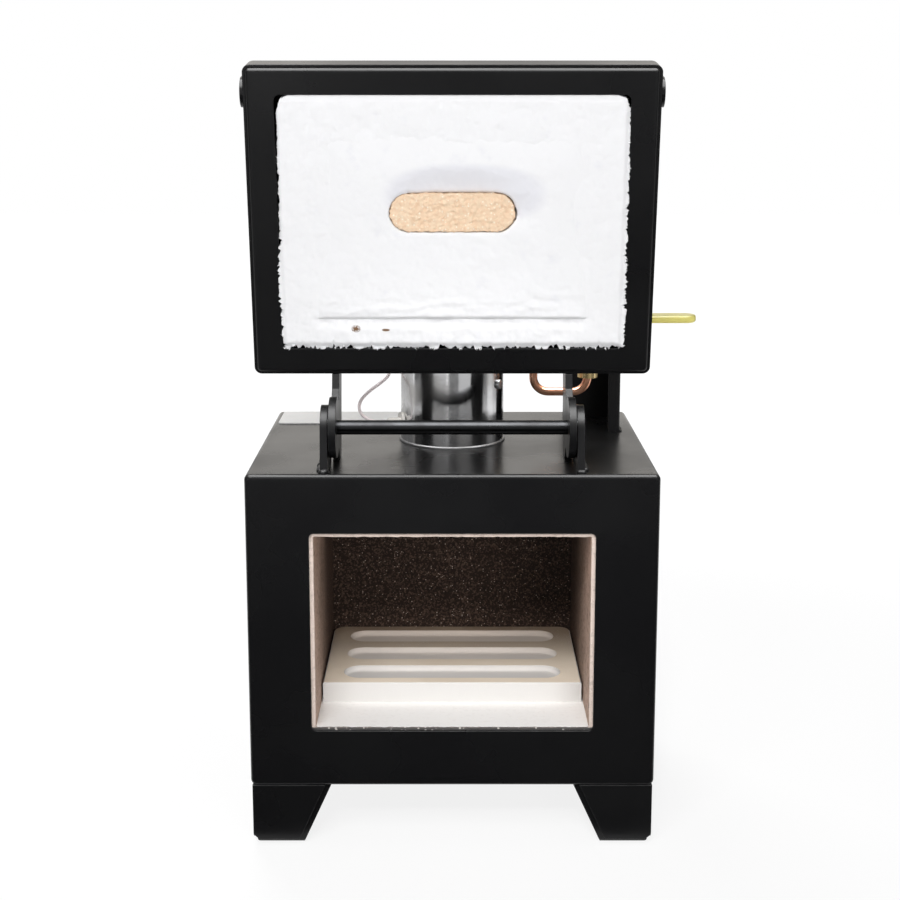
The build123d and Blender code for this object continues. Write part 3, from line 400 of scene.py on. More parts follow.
def mix_color(tree, amount, first, second):
    """Mix of two colours; each is a socket or three numbers."""
    node = tree.nodes.new("ShaderNodeMix")
    node.data_type = "RGBA"
    tree.links.new(amount, node.inputs["Factor"])
    for socket, value in ((node.inputs[6], first), (node.inputs[7], second)):
        if isinstance(value, tuple):
            socket.default_value = (*value, 1.0)
        else:
            tree.links.new(value, socket)
    return node.outputs[2]


def add_bump(tree, shader, height, strength, distance):
    """Bump from a height, on the shader's normal."""
    node = tree.nodes.new("ShaderNodeBump")
    node.inputs["Strength"].default_value = strength
    node.inputs["Distance"].default_value = distance
    tree.links.new(height, node.inputs["Height"])
    tree.links.new(node.outputs["Normal"], shader.inputs["Normal"])
    return node


# %% [markdown]
# The casing and door are sprayed with a black gloss stove paint. It is nearly black head on
# and turns into a mirror at a low angle, as on the top. A low specular level keeps the faces
# dark, the drift varies the gloss a little, the grain is orange peel, and the edge rub shows
# a greyer coat along bends. A Bevel node rounds the shading of cut edges, so that they catch
# a thin line of light as thick paint does.

# %% Black paint
fresh_coat = (0.0055, 0.0055, 0.006)
rubbed_coat = (0.045, 0.045, 0.047)


def black_paint(name, roughness_low, roughness_high, peel):
    """Sprayed black paint with its own range of gloss."""
    material, tree, shader = start_material(name, fresh_coat, 0.3, Specular_IOR_Level=0.30)
    texture = place_group(tree, grain_group, Grain_Scale=420.0, Drift_Scale=9.0)
    rub = place_group(tree, edge_group, Width=0.0011, Breakup=240.0, Amount=0.55)
    gloss = add_range(tree, texture.outputs["Drift"], 0.3, 0.7, roughness_low, roughness_high)
    tree.links.new(gloss, shader.inputs["Roughness"])
    coat = mix_color(tree, rub.outputs["Mask"], fresh_coat, rubbed_coat)
    tree.links.new(coat, shader.inputs["Base Color"])
    bump = add_bump(tree, shader, texture.outputs["Grain"], peel, 0.00006)
    soft_edge = tree.nodes.new("ShaderNodeBevel")
    soft_edge.samples = 4
    soft_edge.inputs["Radius"].default_value = 0.0009
    tree.links.new(soft_edge.outputs[0], bump.inputs["Normal"])
    return material


casing_paint = black_paint("casing_paint", 0.20, 0.34, 0.25)
door_paint = black_paint("door_paint", 0.24, 0.38, 0.3)
forged_paint = black_paint("forged_paint", 0.26, 0.42, 0.5)

# %% [markdown]
# Steel shows five finishes here: the shroud is polished, with faint lines round it and cloudy
# stains from heat; screws and the lever are zinc plated; the burner's inner parts are bare
# and darker; the shroud's base ring is dull grey, and the hinge rod nearly black. They share
# one recipe with different colours, and the lines round the shroud come from a grain that is
# squeezed along its height.

# %% Steel


def steel(name, color, stain, roughness_low, roughness_high, stretch, scratch):
    """Bare or plated steel with stains and drawing lines."""
    material, tree, shader = start_material(name, color, roughness_low, metallic=1.0)
    texture = place_group(tree, grain_group, Grain_Scale=350.0, Drift_Scale=38.0, Stretch=stretch)
    cloud = add_range(tree, texture.outputs["Drift"], 0.38, 0.72)
    tree.links.new(mix_color(tree, cloud, color, stain), shader.inputs["Base Color"])
    rough = add_range(tree, texture.outputs["Drift"], 0.3, 0.75, roughness_low, roughness_high)
    tree.links.new(rough, shader.inputs["Roughness"])
    add_bump(tree, shader, texture.outputs["Grain"], scratch, 0.00004)
    return material


shroud_steel = steel("shroud_steel", (0.70, 0.70, 0.71), (0.50, 0.49, 0.48), 0.10, 0.24, 9.0, 0.12)
zinc_steel = steel("zinc_steel", (0.68, 0.69, 0.71), (0.50, 0.50, 0.50), 0.22, 0.38, 1.0, 0.15)
bare_steel = steel("bare_steel", (0.36, 0.34, 0.32), (0.20, 0.17, 0.15), 0.32, 0.50, 2.0, 0.3)
ring_steel = steel("ring_steel", (0.26, 0.26, 0.265), (0.20, 0.20, 0.20), 0.42, 0.55, 1.0, 0.15)
rod_steel = steel("rod_steel", (0.040, 0.041, 0.043), (0.025, 0.025, 0.026), 0.26, 0.36, 1.0, 0.2)

# %% [markdown]
# The gas tube is soft drawn copper. Handling leaves darker, browner patches on a bright salmon
# metal, so the drift mixes two metal colours. Brass fittings use the same recipe, yellower.
# The flame nozzle is cast iron with a rusty, grainy skin.

# %% Copper, brass and cast iron
copper = steel("copper", (0.95, 0.53, 0.36), (0.82, 0.38, 0.23), 0.22, 0.38, 1.0, 0.12)
brass = steel("brass", (0.84, 0.66, 0.34), (0.68, 0.50, 0.22), 0.20, 0.36, 1.0, 0.15)
nozzle_iron, tree, shader = start_material("nozzle_iron", (0.10, 0.085, 0.075), 0.7, metallic=0.6)
cast_iron = place_group(tree, cast_group, Grain_Scale=900.0, Share=0.05)
rust = mix_color(tree, cast_iron.outputs["Tone"], (0.13, 0.09, 0.07), (0.07, 0.065, 0.06))
tree.links.new(rust, shader.inputs["Base Color"])
add_bump(tree, shader, cast_iron.outputs["Height"], 0.5, 0.0003)

# %% [markdown]
# The chamber is cast refractory. Near the mouth it is pinkish buff, and deeper in it is painted dark brown
# as shade deep in the chamber, with pale grains that catch the light. The depth behind the mouth is the
# object's own Y, so a Map Range on it paints that shade in, and grains sit on top.

# %% Refractory
chamber_front = front_y + 0.004
chamber_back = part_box("muffle_back_wall")[0].y


def refractory(name, buff, deep_shade, pale, share, shade_from, shade_to, grain_scale=620.0, relief=0.0005,
               fleck=(0.13, 0.085, 0.065), fleck_amount=0.7, spots=0.55):
    """Cast refractory, painted darker from the mouth to the back as shade deep in the chamber."""
    material, tree, shader = start_material(name, buff, 0.85, Specular_IOR_Level=0.35)
    grains = place_group(tree, cast_group, Grain_Scale=grain_scale, Share=share)
    soot = place_group(tree, grain_group, Grain_Scale=300.0, Drift_Scale=26.0)
    wander = add_math(tree, "MULTIPLY", add_math(tree, "SUBTRACT", soot.outputs["Drift"], 0.5), 0.05)
    depth = add_math(tree, "ADD", split_vector(tree, object_space(tree))["Y"], wander)
    # Painted shade: the colour darkens with the depth behind the mouth.
    deep_shade_mask = add_range(tree, depth, shade_from, shade_to)
    base = mix_color(tree, deep_shade_mask, buff, deep_shade)
    speck = tuple(0.45 * value for value in deep_shade)
    dark_spots = add_range(tree, soot.outputs["Grain"], 0.50, 0.70)
    base = mix_color(tree, add_math(tree, "MULTIPLY", dark_spots, spots), base, speck)
    brown = add_math(tree, "MULTIPLY", add_range(tree, grains.outputs["Tone"], 0.5, 0.95), deep_shade_mask)
    base = mix_color(tree, add_math(tree, "MULTIPLY", brown, fleck_amount), base, fleck)
    base = mix_color(tree, grains.outputs["Pale"], base, pale)
    tree.links.new(base, shader.inputs["Base Color"])
    add_bump(tree, shader, grains.outputs["Height"], 0.8, relief)
    return material


# Each second colour is painted shade deep in the chamber, and the back wall is painted dark all over as the
# shaded back of the chamber.
wall_refractory = refractory("wall_refractory", (0.60, 0.43, 0.34), (0.070, 0.044, 0.032),
                             (0.78, 0.64, 0.55), 0.10, chamber_front - 0.012, chamber_front + 0.125)
back_refractory = refractory("back_refractory", (0.05, 0.036, 0.028), (0.026, 0.017, 0.013),
                             (0.70, 0.56, 0.48), 0.06, chamber_front, chamber_back - 0.01, 900.0)
floor_refractory = refractory("floor_refractory", (0.97, 0.96, 0.94), (0.34, 0.27, 0.21),
                              (0.94, 0.90, 0.84), 0.03, chamber_front + 0.03, chamber_front + 0.16,
                              900.0, 0.0001, fleck=(0.62, 0.54, 0.46), fleck_amount=0.3, spots=0.05)
seal_fibre = refractory("seal_fibre", (0.65, 0.54, 0.475), (0.55, 0.44, 0.37),
                        (0.78, 0.69, 0.63), 0.16, chamber_front, chamber_back, 1100.0, 0.0003,
                        fleck=(0.50, 0.38, 0.31), fleck_amount=0.4, spots=0.35)

# %% [markdown]
# The seal's lowest strip lies on the steel sill, in the thin shadow of the gap there, and that shadow is
# painted: the strip is told from the rest by its height, so the same material is mixed towards a dark grey
# with pale crumbs down there.

# %% Painted shadow on the sill
sill_height = 86.6
sill_fade = 1.0

tree = seal_fibre.node_tree
shader = tree.nodes["Principled BSDF"]
above_sill = shader.inputs["Base Color"].links[0].from_socket
above_bench = split_vector(tree, object_space(tree))["Z"]
# Painted shadow: below the sill's height the colour goes to a dark grey with pale crumbs.
sill_shadow = add_range(tree, above_bench, sill_height * MM, (sill_height - sill_fade) * MM)
crumbs = place_group(tree, cast_group, Grain_Scale=420.0, Share=0.3)
sill_shadow_with_crumbs = mix_color(tree, crumbs.outputs["Pale"], (0.07, 0.065, 0.062), (0.62, 0.58, 0.54))
tree.links.new(mix_color(tree, sill_shadow, above_sill, sill_shadow_with_crumbs), shader.inputs["Base Color"])

# %% [markdown]
# The hearth plate is a dense fired slab. Its top has turned tan in use, while its front face and the floors
# of its grooves are still pale. What faces up is told from the normal, and what lies in a groove from its
# height. Both the tan and the pale parts are painted darker to the back, as shade deep in the chamber.

# %% Hearth ceramic
plate_low, plate_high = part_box("hearth_plate")
hearth_ceramic, tree, shader = start_material("hearth_ceramic", (0.44, 0.37, 0.29), 0.62,
                                              Specular_IOR_Level=0.4)
grains = place_group(tree, cast_group, Grain_Scale=1300.0, Share=0.05)
soot = place_group(tree, grain_group, Grain_Scale=500.0, Drift_Scale=20.0)
on_plate = split_vector(tree, object_space(tree))
surface = tree.nodes.new("ShaderNodeNewGeometry")
upward = add_range(tree, split_vector(tree, surface.outputs["Normal"])["Z"], 0.75, 0.99)
crown = add_range(tree, on_plate["Z"], plate_high.z - 1.6 * MM, plate_high.z - 0.4 * MM)
age = add_math(tree, "MULTIPLY", upward, crown)
# Painted shade: darker towards the back of the plate, deep in the chamber.
back_shade = add_range(tree, on_plate["Y"], plate_low.y, plate_high.y)
tan = mix_color(tree, back_shade, (0.96, 0.85, 0.70), (0.26, 0.19, 0.135))
cloud = add_math(tree, "MULTIPLY", add_range(tree, soot.outputs["Drift"], 0.35, 0.7), 0.25)
tan = mix_color(tree, cloud, tan, (0.60, 0.48, 0.35))
groove = mix_color(tree, back_shade, (0.67, 0.655, 0.635), (0.56, 0.49, 0.43))
base = mix_color(tree, age, groove, tan)
pale_share = add_math(tree, "MULTIPLY", grains.outputs["Pale"], 0.5)
base = mix_color(tree, pale_share, base, (0.80, 0.76, 0.70))
tree.links.new(base, shader.inputs["Base Color"])
add_bump(tree, shader, grains.outputs["Height"], 0.25, 0.00015)
print("hearth plate from", round(plate_low.y, 4), "to", round(plate_high.y, 4), "m")

# %% [markdown]
# The lining is ceramic fibre: a matt white felt. Its relief is real geometry further on, and the material
# adds only the finest lint. A grey patch above the door's slot is painted shade, where the scoop slopes
# away from the light, and heat has left two small brown spots near its lower edge; each is a rounded patch
# placed in the door's own directions, with one power that says how square it is. The plug is vermiculite
# bonded into a tan board, with flakes of slightly different tones.

# %% Fibre and plug
squareness = 2.4
felt_out = -24.0
felt_white = (0.86, 0.86, 0.87)
felt_shade = (0.80, 0.80, 0.83)
scoop_shade_grey = (0.775, 0.775, 0.81)
scorch = (0.20, 0.12, 0.07)
dark_scorch = (0.16, 0.08, 0.04)


def door_mark(tree, x, up, half_x, half_up, soft):
    """Mask of a rounded patch on the open door, 1 inside it; places in millimetres."""
    offset = add_vectors(tree, "SUBTRACT", object_space(tree), door_spot(x, up, felt_out))
    squares = []
    for axis, half in ((Vector((1, 0, 0)), half_x), (up_the_door, half_up)):
        along = add_vectors(tree, "DOT_PRODUCT", offset, axis / (half * MM))
        squares.append(add_math(tree, "POWER", add_math(tree, "ABSOLUTE", along, 0.0), squareness))
    reach = add_math(tree, "ADD", *squares)
    return add_range(tree, reach, 1.0 + soft, 1.0 - soft)


def fibre(name, marks=()):
    """Matt fibre felt; a mark is a colour, whether its edge is broken, and its patch on the door."""
    material, tree, shader = start_material(name, felt_white, 0.95, Specular_IOR_Level=0.1)
    texture = place_group(tree, grain_group, Grain_Scale=1500.0, Drift_Scale=60.0)
    hollow = add_range(tree, texture.outputs["Drift"], 0.58, 0.80)
    base = mix_color(tree, hollow, felt_white, felt_shade)
    for mark_color, broken, *patch_place in marks:
        patch = door_mark(tree, *patch_place)
        if broken:
            specks = add_range(tree, texture.outputs["Grain"], 0.42, 0.56)
            patch = add_math(tree, "MULTIPLY", patch, specks)
        base = mix_color(tree, patch, base, mark_color)
    tree.links.new(base, shader.inputs["Base Color"])
    add_bump(tree, shader, texture.outputs["Grain"], 0.35, 0.0003)
    return material


fibre_white = fibre("fibre_white")
# The grey mark is painted shade on the scoop above the slot; the brown ones are scorch.
door_fibre = fibre("door_fibre", [(scoop_shade_grey, False, 8.5, 156.5, 52.0, 20.0, 0.3),
                                  (dark_scorch, False, -66.0, 62.6, 1.7, 1.2, 0.6),
                                  (scorch, True, -66.0, 62.6, 3.0, 2.4, 0.5),
                                  (scorch, False, -45.5, 61.8, 2.6, 0.9, 0.6)])
plug_board, tree, shader = start_material("plug_board", (0.88, 0.60, 0.36), 0.85, Specular_IOR_Level=0.2)
flakes = place_group(tree, cast_group, Grain_Scale=520.0, Share=0.25)
base = mix_color(tree, flakes.outputs["Tone"], (0.88, 0.69, 0.50), (0.84, 0.60, 0.41))
base = mix_color(tree, flakes.outputs["Pale"], base, (0.97, 0.85, 0.70))
tree.links.new(base, shader.inputs["Base Color"])
add_bump(tree, shader, flakes.outputs["Height"], 0.6, 0.0005)

# %% [markdown]
# The plastics are simple: a yellow dipped sleeve with a soft sheen, a white lead, a black
# igniter barrel and a red button. The glazed gland and the enamelled plate use the same
# recipe. Each gets a faint grain and a slow drift in its gloss, because nothing moulded or
# glazed is perfectly even.

# %% Plastics


def moulded(name, color, darker, roughness_low, roughness_high, texture_depth):
    """Moulded, dipped or glazed skin."""
    material, tree, shader = start_material(name, color, roughness_low)
    texture = place_group(tree, grain_group, Grain_Scale=800.0, Drift_Scale=45.0)
    tree.links.new(mix_color(tree, texture.outputs["Drift"], color, darker), shader.inputs["Base Color"])
    rough = add_range(tree, texture.outputs["Drift"], 0.3, 0.7, roughness_low, roughness_high)
    tree.links.new(rough, shader.inputs["Roughness"])
    add_bump(tree, shader, texture.outputs["Grain"], texture_depth, 0.00008)
    return material


yellow_vinyl = moulded("yellow_vinyl", (0.97, 0.89, 0.27), (0.94, 0.83, 0.20), 0.28, 0.40, 0.3)
white_silicone = moulded("white_silicone", (0.95, 0.87, 0.87), (0.93, 0.80, 0.80), 0.35, 0.5, 0.2)
white_insulator = moulded("white_insulator", (0.82, 0.80, 0.76), (0.74, 0.71, 0.66), 0.18, 0.3, 0.1)
black_plastic = moulded("black_plastic", (0.030, 0.030, 0.032), (0.020, 0.020, 0.021), 0.38, 0.55, 0.5)
red_plastic = moulded("red_plastic", (0.50, 0.035, 0.025), (0.40, 0.025, 0.02), 0.25, 0.38, 0.2)
plate_white = moulded("plate_white", (0.84, 0.84, 0.83), (0.78, 0.78, 0.77), 0.3, 0.42, 0.1)
spark_lead.data.materials.append(white_silicone)

# %% [markdown]
# The frame's pieces already have the right shape, so most of them only need their material.
# A table from material to piece names is the clearest way to hand them out. The pieces that
# get nothing here are soft or rough ones, which are made anew further on.

# %% Hand out the materials
finishes = [
    (casing_paint, ["front_panel", "casing_wrap", "rear_panel"]),
    (door_paint, ["door_pan", "door_frame", "door_handle"]),
    (forged_paint, ["front_left_foot", "front_right_foot", "rear_left_foot", "rear_right_foot",
                    "hinge_lug_left", "hinge_lug_right", "hinge_arm_left", "hinge_arm_right",
                    "valve_bracket", "igniter_bracket"]),
    (rod_steel, ["hinge_rod"]),
    (shroud_steel, ["burner_shroud"]),
    (ring_steel, ["shroud_base_ring"]),
    (zinc_steel, ["rear_panel_screws", "handle_screws", "shroud_screws", "hinge_washers",
                  "valve_lever", "lever_nut", "valve_ball"]),
    (bare_steel, ["burner_bridge", "mixing_tube", "jet_bridge", "valve_stem"]),
    (nozzle_iron, ["flame_nozzle"]),
    (copper, ["copper_gas_tube"]),
    (brass, ["gas_jet", "gas_tube_nuts", "outlet_elbow", "valve_body", "inlet_nipple", "bulkhead_nuts"]),
    (wall_refractory, ["muffle_left_wall", "muffle_right_wall", "muffle_ceiling"]),
    (back_refractory, ["muffle_back_wall"]),
    (floor_refractory, ["muffle_floor"]),
    (hearth_ceramic, ["hearth_plate"]),
    (fibre_white, ["insulation_left", "insulation_right", "insulation_top", "insulation_bottom",
                   "insulation_rear"]),
    (yellow_vinyl, ["lever_sleeve"]),
    (white_insulator, ["electrode_gland", "electrode_rod"]),
    (black_plastic, ["igniter_body"]),
    (red_plastic, ["igniter_button"]),
]
for material, names in finishes:
    for name in names:
        piece = frame["nodes"][name]
        piece.data.materials.clear()
        piece.data.materials.append(material)
dressed = [name for material, names in finishes for name in names]
print("dressed", len(dressed), "pieces; to replace", sorted(set(frame["nodes"]) - set(dressed)))

# %% [markdown]
# The door's lining is two layers of fibre blanket. The lower one fills the frame and is torn
# along its edges; the upper one is as large as the mouth and seals it. A felt like this is
# uneven at every scale, so its face is a dense grid whose points are moved by layered noise.
# Cloth simulation would give folds that stiff felt doesn't have. Sizes and places are in
# millimetres along the door, with up counted from the hinge pin. Grid points nearer to the
# slot than its grip, a share of one cell, count as its edge.

# %% Sizes of the lining
opening_half = 116.5
opening_low = 48.0
frame_face_out = -27.0
blanket_half = 117.6
blanket_low = opening_low
blanket_high = 222.0
pad_half = 95.0
pad_low = 69.4
pad_high = 207.4
slot_up = 143.9
slot_length = 84.8
slot_width = 26.6
slot_straight = (slot_length - slot_width) / 2
slot_grip = 0.75


def ripple(x, y, layer):
    """Smooth noise between -1 and 1; each layer is another pattern."""
    return noise.noise(Vector((x, y, layer)))


def fluff(x, y, seed):
    """Height of felt at a place in millimetres, from lumps down to lint."""
    total = 0.0
    for size, depth in ((26.0, 0.55), (9.0, 0.40), (3.6, 0.24), (1.7, 0.12)):
        total += depth * ripple(x / size, y / size, seed + size)
    return total


def smooth_step(value, low, high):
    """0 at low, 1 at high, with soft ends."""
    share = min(max((value - low) / (high - low), 0.0), 1.0)
    return share * share * (3 - 2 * share)


# %% [markdown]
# Both layers are made alike. A grid of points covers the layer, the points next to the slot
# are drawn onto its ragged edge, and the layer's own functions move the outline and set the
# height. The back is the same grid, flat and kept inside the pan. Cells inside the slot are
# left out, and walls along every open edge close the slab.

# %% Helpers for a felt layer


def slot_distance(x, up):
    """Distance outside the plug's slot in millimetres; negative inside it."""
    return math.hypot(max(abs(x) - slot_straight, 0.0), up - slot_up) - slot_width / 2


def slot_edge(x, up):
    """Place on the slot's ragged edge, looser at its right end and below."""
    centre = min(max(x, -slot_straight), slot_straight)
    run = math.hypot(x - centre, up - slot_up)
    loose = max(0.0, (x - centre) / run) + 0.6 * max(0.0, (slot_up - up) / run - 0.6)
    patch = 0.5 + ripple(x / 9.0, up / 9.0, 6.0)
    ragged = slot_width / 2 + 0.35 * ripple(x / 2.5, up / 2.5, 3.0)
    ragged += 1.1 * loose * max(patch, 0.0)
    return centre + (x - centre) * ragged / run, slot_up + (up - slot_up) * ragged / run


def felt_grid(half_width, up_low, up_high, cell, outline):
    """Rows of places with their distance from the slot."""
    columns = round(2 * half_width / cell)
    rows = round((up_high - up_low) / cell)
    grid = []
    for row in range(rows + 1):
        line = []
        for column in range(columns + 1):
            x = -half_width + 2 * half_width * column / columns
            up = up_low + (up_high - up_low) * row / rows
            gap = slot_distance(x, up)
            if -cell < gap < cell * slot_grip:
                x, up = slot_edge(x, up)
            line.append((*outline(x, up), gap))
        grid.append(line)
    return grid


def close_rims(mesh, front, back):
    """Walls from the open edges of the face to the back."""
    twin = {}
    for front_line, back_line in zip(front, back):
        twin.update(zip(front_line, back_line))
    rims = [edge for edge in mesh.edges if edge.is_boundary and edge.verts[0] in twin]
    for edge in rims:
        first, second = edge.verts
        loop = edge.link_loops[0]
        if loop.vert is not first:
            first, second = second, first
        mesh.faces.new([second, first, twin[first], twin[second]])


def felt_layer(name, half_width, up_low, up_high, cell, outline, height, back_out):
    """Closed felt slab on the open door.

    outline(x, up) moves a point of the edge, height(x, up) is the face, both in millimetres.
    """
    mesh = bmesh.new()
    grid = felt_grid(half_width, up_low, up_high, cell, outline)
    front = [[mesh.verts.new(door_spot(x, up, height(x, up))) for x, up, gap in line] for line in grid]
    back = [[mesh.verts.new(door_spot(max(-opening_half, min(x, opening_half)),
                                      max(up, opening_low), back_out))
             for x, up, gap in line] for line in grid]
    for row in range(len(grid) - 1):
        for column in range(len(grid[0]) - 1):
            corners = [(row, column), (row, column + 1), (row + 1, column + 1), (row + 1, column)]
            gaps = [grid[r][c][2] for r, c in corners]
            if max(gaps) < cell * slot_grip or min(gaps) < -cell:
                continue
            mesh.faces.new([front[r][c] for r, c in corners])
            mesh.faces.new([back[r][c] for r, c in reversed(corners)])
    close_rims(mesh, front, back)
    bmesh.ops.delete(mesh, geom=[v for v in mesh.verts if not v.link_faces], context="VERTS")
    bmesh.ops.recalc_face_normals(mesh, faces=mesh.faces[:])
    piece = object_from(name, mesh)
    shade_smooth(piece)
    print(name, len(piece.data.polygons), "faces")
    return piece


# %% [markdown]
# Above the slot the felt is scooped out towards the plug by hot gas, wider to the right. Both
# layers follow that scoop: it is a slope inside a rounded outline, nothing at the outline and
# deepest at the slot.

# %% Scoop above the slot
scoop_centre = 8.5
scoop_half = 50.0
scoop_rise = 30.5
scoop_depth = 4.2


def scoop(x, up):
    """Share of the scoop's depth at a place."""
    uneven = 1.2 * ripple(x / 14.0, up / 14.0, 12.0)
    lean = 0.10 * (x - scoop_centre)
    across = abs((x - scoop_centre + uneven) / scoop_half) ** squareness
    above = abs((up - slot_up + lean) / scoop_rise) ** squareness
    inward = 1 - (across + above) ** (1 / squareness)
    upper = smooth_step(up, slot_up - 14, slot_up + 2)
    return smooth_step(inward, -0.02, 0.62) ** 0.8 * upper


# %% [markdown]
# The lower blanket's top edge is cut straight with its corners clipped, and its sides and
# lower edge are torn. Two short tables say how far the torn sides lie inside the opening or
# spill over the frame. Noise that fades away from the edge moves the outline, and the face
# rolls down to the frame within a few millimetres. Under the upper layer it is pressed flat,
# and nowhere does it stand further out than the shut casing leaves room for.

# %% Door blanket
blanket_out = -24.7
blanket_back = -52.0
shut_limit = -24.2
edge_drop = 1.4
spill_lift = 1.8
spill_start = 0.1
pressed_depth = 1.6
valley_depth = 1.2
valley_start, valley_floor, valley_end = 61.0, 68.0, 72.0
tear_reach = 14.0
corner_clip = 10.0
left_insets = [(blanket_low, 1.2), (65.0, 0.8), (85.0, -1.0), (136.0, 1.2), (blanket_high, 2.3)]
right_insets = [(blanket_low, -0.8), (85.0, -0.8), (136.0, -0.3), (blanket_high, 0.9)]


def notch(place, seed):
    """1 in the narrow gaps between the rounded tufts of an edge, 0 along the tufts."""
    return 1 - smooth_step(abs(ripple(place, seed, 4.3)), 0.0, 0.16)


def edge_inset(x, up):
    """How far the torn side lies inside the opening; below zero it spills over the frame."""
    table = left_insets if x < 0 else right_insets
    for (low_up, low_inset), (high_up, high_inset) in zip(table, table[1:]):
        if up <= high_up:
            return low_inset + (high_inset - low_inset) * smooth_step(up, low_up, high_up)
    return table[-1][1]


def blanket_outline(x, up):
    """Torn sides and lower edge, and the clipped upper corners."""
    side = smooth_step(abs(x), blanket_half - tear_reach, blanket_half)
    low = smooth_step(blanket_low + tear_reach - up, 0.0, tear_reach)
    lower_half = smooth_step(205 - up, 0.0, 100.0)
    torn = 1.3 * ripple(up / 14.0, x * 0.01, 5.0) + 0.5 * ripple(up / 1.8, x * 0.02, 3.0)
    torn -= 1.9 * notch(up / 5.0, 9.0 + 0.02 * x) + 1.1 * notch(up / 2.6, 3.0 + 0.02 * x)
    lifted = 1.2 * ripple(x / 14.0, 2.0, 1.0) + 0.3 * ripple(x / 2.2, 5.0, 4.0)
    lifted += 2.6 * notch(x / 9.0, 7.0) + 1.3 * notch(x / 4.2, 2.0) - 0.3
    away = 1 if x > 0 else -1
    moved_x = x + away * side * (torn * (0.2 + 0.8 * lower_half) - edge_inset(x, up))
    moved_up = up + low * lifted
    from_corner = (blanket_half - abs(x)) + (blanket_high - up)
    if from_corner < corner_clip:
        clip = (corner_clip - from_corner) / 4
        moved_x -= away * clip
        moved_up -= clip
    return moved_x, moved_up


def blanket_height(x, up):
    """Face of the lower blanket, rolled down along its edges."""
    rim = min(blanket_half - abs(x), up - blanket_low - 1.0, blanket_high - up)
    roll = smooth_step(rim, -1.5, 4.5)
    covered = smooth_step(pad_half - 12 - abs(x), 0, 10) * smooth_step(up - pad_low - 2, 0, 4)
    covered *= smooth_step(pad_high - 14 - up, 0, 12)
    beyond = max(abs(x) - (opening_half - spill_start), opening_low - spill_start - up)
    spilled = smooth_step(beyond, 0.0, 0.5)
    rest = frame_face_out - edge_drop + spill_lift * spilled
    face = blanket_out + fluff(x, up, 1.0) * (0.6 + 0.7 * roll) * (1 - 0.8 * covered)
    face -= pressed_depth * covered + scoop_depth * scoop(x, up)
    valley = smooth_step(up, valley_start, valley_floor) * smooth_step(valley_end - up, 0.0, 2.0)
    face -= valley_depth * valley * smooth_step(pad_half + 3.0 - abs(x), 0.0, 12.0)
    face = min(face, shut_limit)
    return rest + (face - rest) * roll


blanket = felt_layer("blanket_felt", blanket_half, blanket_low, blanket_high, 1.0, blanket_outline,
                     blanket_height, blanket_back)

# %% [markdown]
# The upper blanket is as large as the mouth and a little sunk into the lower one. Its top and
# sides run out so softly that they almost vanish; only its lower edge stands as a step that
# throws a thin shadow, with soft creases above it.

# %% Door pad
pad_out = -22.6
pad_sunk = -25.8
pad_back = -28.6


def pad_outline(x, up):
    """Cut edges, only slightly uneven."""
    low = smooth_step(pad_low + 4 - up, 0.0, 4.0)
    up += low * (0.9 * ripple(x / 9.0, 4.0, 8.0) + 0.4 * ripple(x / 2.5, 1.0, 8.0))
    return x, up


def pad_height(x, up):
    """Face of the upper blanket with its soft edges, creases and the scoop."""
    side_reach = 9.0 + 23.0 * smooth_step(up, 78.0, 130.0)
    side_roll = smooth_step(pad_half - abs(x), -0.5, side_reach)
    top_roll = smooth_step(pad_high - up, -0.5, 40.0)
    low_roll = smooth_step(up - pad_low, -0.4, 2.8)
    creased = smooth_step(pad_low + 30 - up, 0.0, 24.0)
    crease = 0.75 * ripple(x / 16.0, up / 5.0, 15.0)
    crease += 0.3 * ripple(x / 7.0, up / 2.6, 18.0)
    face = pad_out + 0.9 * fluff(x, up, 6.0) + creased * crease - scoop_depth * scoop(x, up)
    face -= 0.7 * (1 - smooth_step(slot_distance(x, up), -0.5, 2.6))
    sunk = pad_sunk - scoop_depth * scoop(x, up)
    return sunk + (face - sunk) * min(side_roll, top_roll, low_roll)


pad = felt_layer("pad_felt", pad_half, pad_low, pad_high, 0.9, pad_outline, pad_height, pad_back)

# %% [markdown]
# Torn felt ends in loose tufts. Each tuft is a thin tapered strand that starts inside the
# blanket's torn edge and points outwards over the black frame. A hundred of them, seeded so
# that they are the same each time, soften the outline without a particle system.

# %% Tufts along the torn edges
tuft_count = 100
tuft_root = 0.8
low_edge_share = 0.42


def strand(mesh, root, tip, radius):
    """Three-sided tapered strand, closed at both ends."""
    run = (tip - root).normalized()
    side = run.orthogonal().normalized()
    other = run.cross(side)
    ring = []
    for corner in range(3):
        angle = 2 * math.pi * corner / 3
        ring.append(mesh.verts.new(root + (side * math.cos(angle) + other * math.sin(angle)) * radius))
    point = mesh.verts.new(tip)
    for corner in range(3):
        mesh.faces.new([ring[corner], ring[(corner + 1) % 3], point])
    mesh.faces.new(ring[::-1])


tuft_mesh = bmesh.new()
for number in range(tuft_count):
    if random.random() < low_edge_share:
        x = random.uniform(-blanket_half + 2, blanket_half - 2)
        up = blanket_low
        out_x, out_up = random.gauss(0, 0.5), -1.0
    else:
        x = math.copysign(blanket_half, random.random() - 0.5)
        up = blanket_low + (blanket_high - blanket_low) * random.random() ** 1.5
        out_x, out_up = math.copysign(1.0, x), random.gauss(0, 0.5)
    x, up = blanket_outline(x, up)
    reach = random.uniform(0.4, 1.5) * 0.7
    root_out = frame_face_out + 0.1 + random.uniform(0.0, 1.2)
    tip_out = frame_face_out + 0.4 + random.uniform(0.0, 1.4)
    root = door_spot(x - out_x * tuft_root, up - out_up * tuft_root, root_out)
    tip = door_spot(x + out_x * reach, up + out_up * reach, tip_out)
    strand(tuft_mesh, root, tip, random.uniform(0.3, 0.9) * MM)
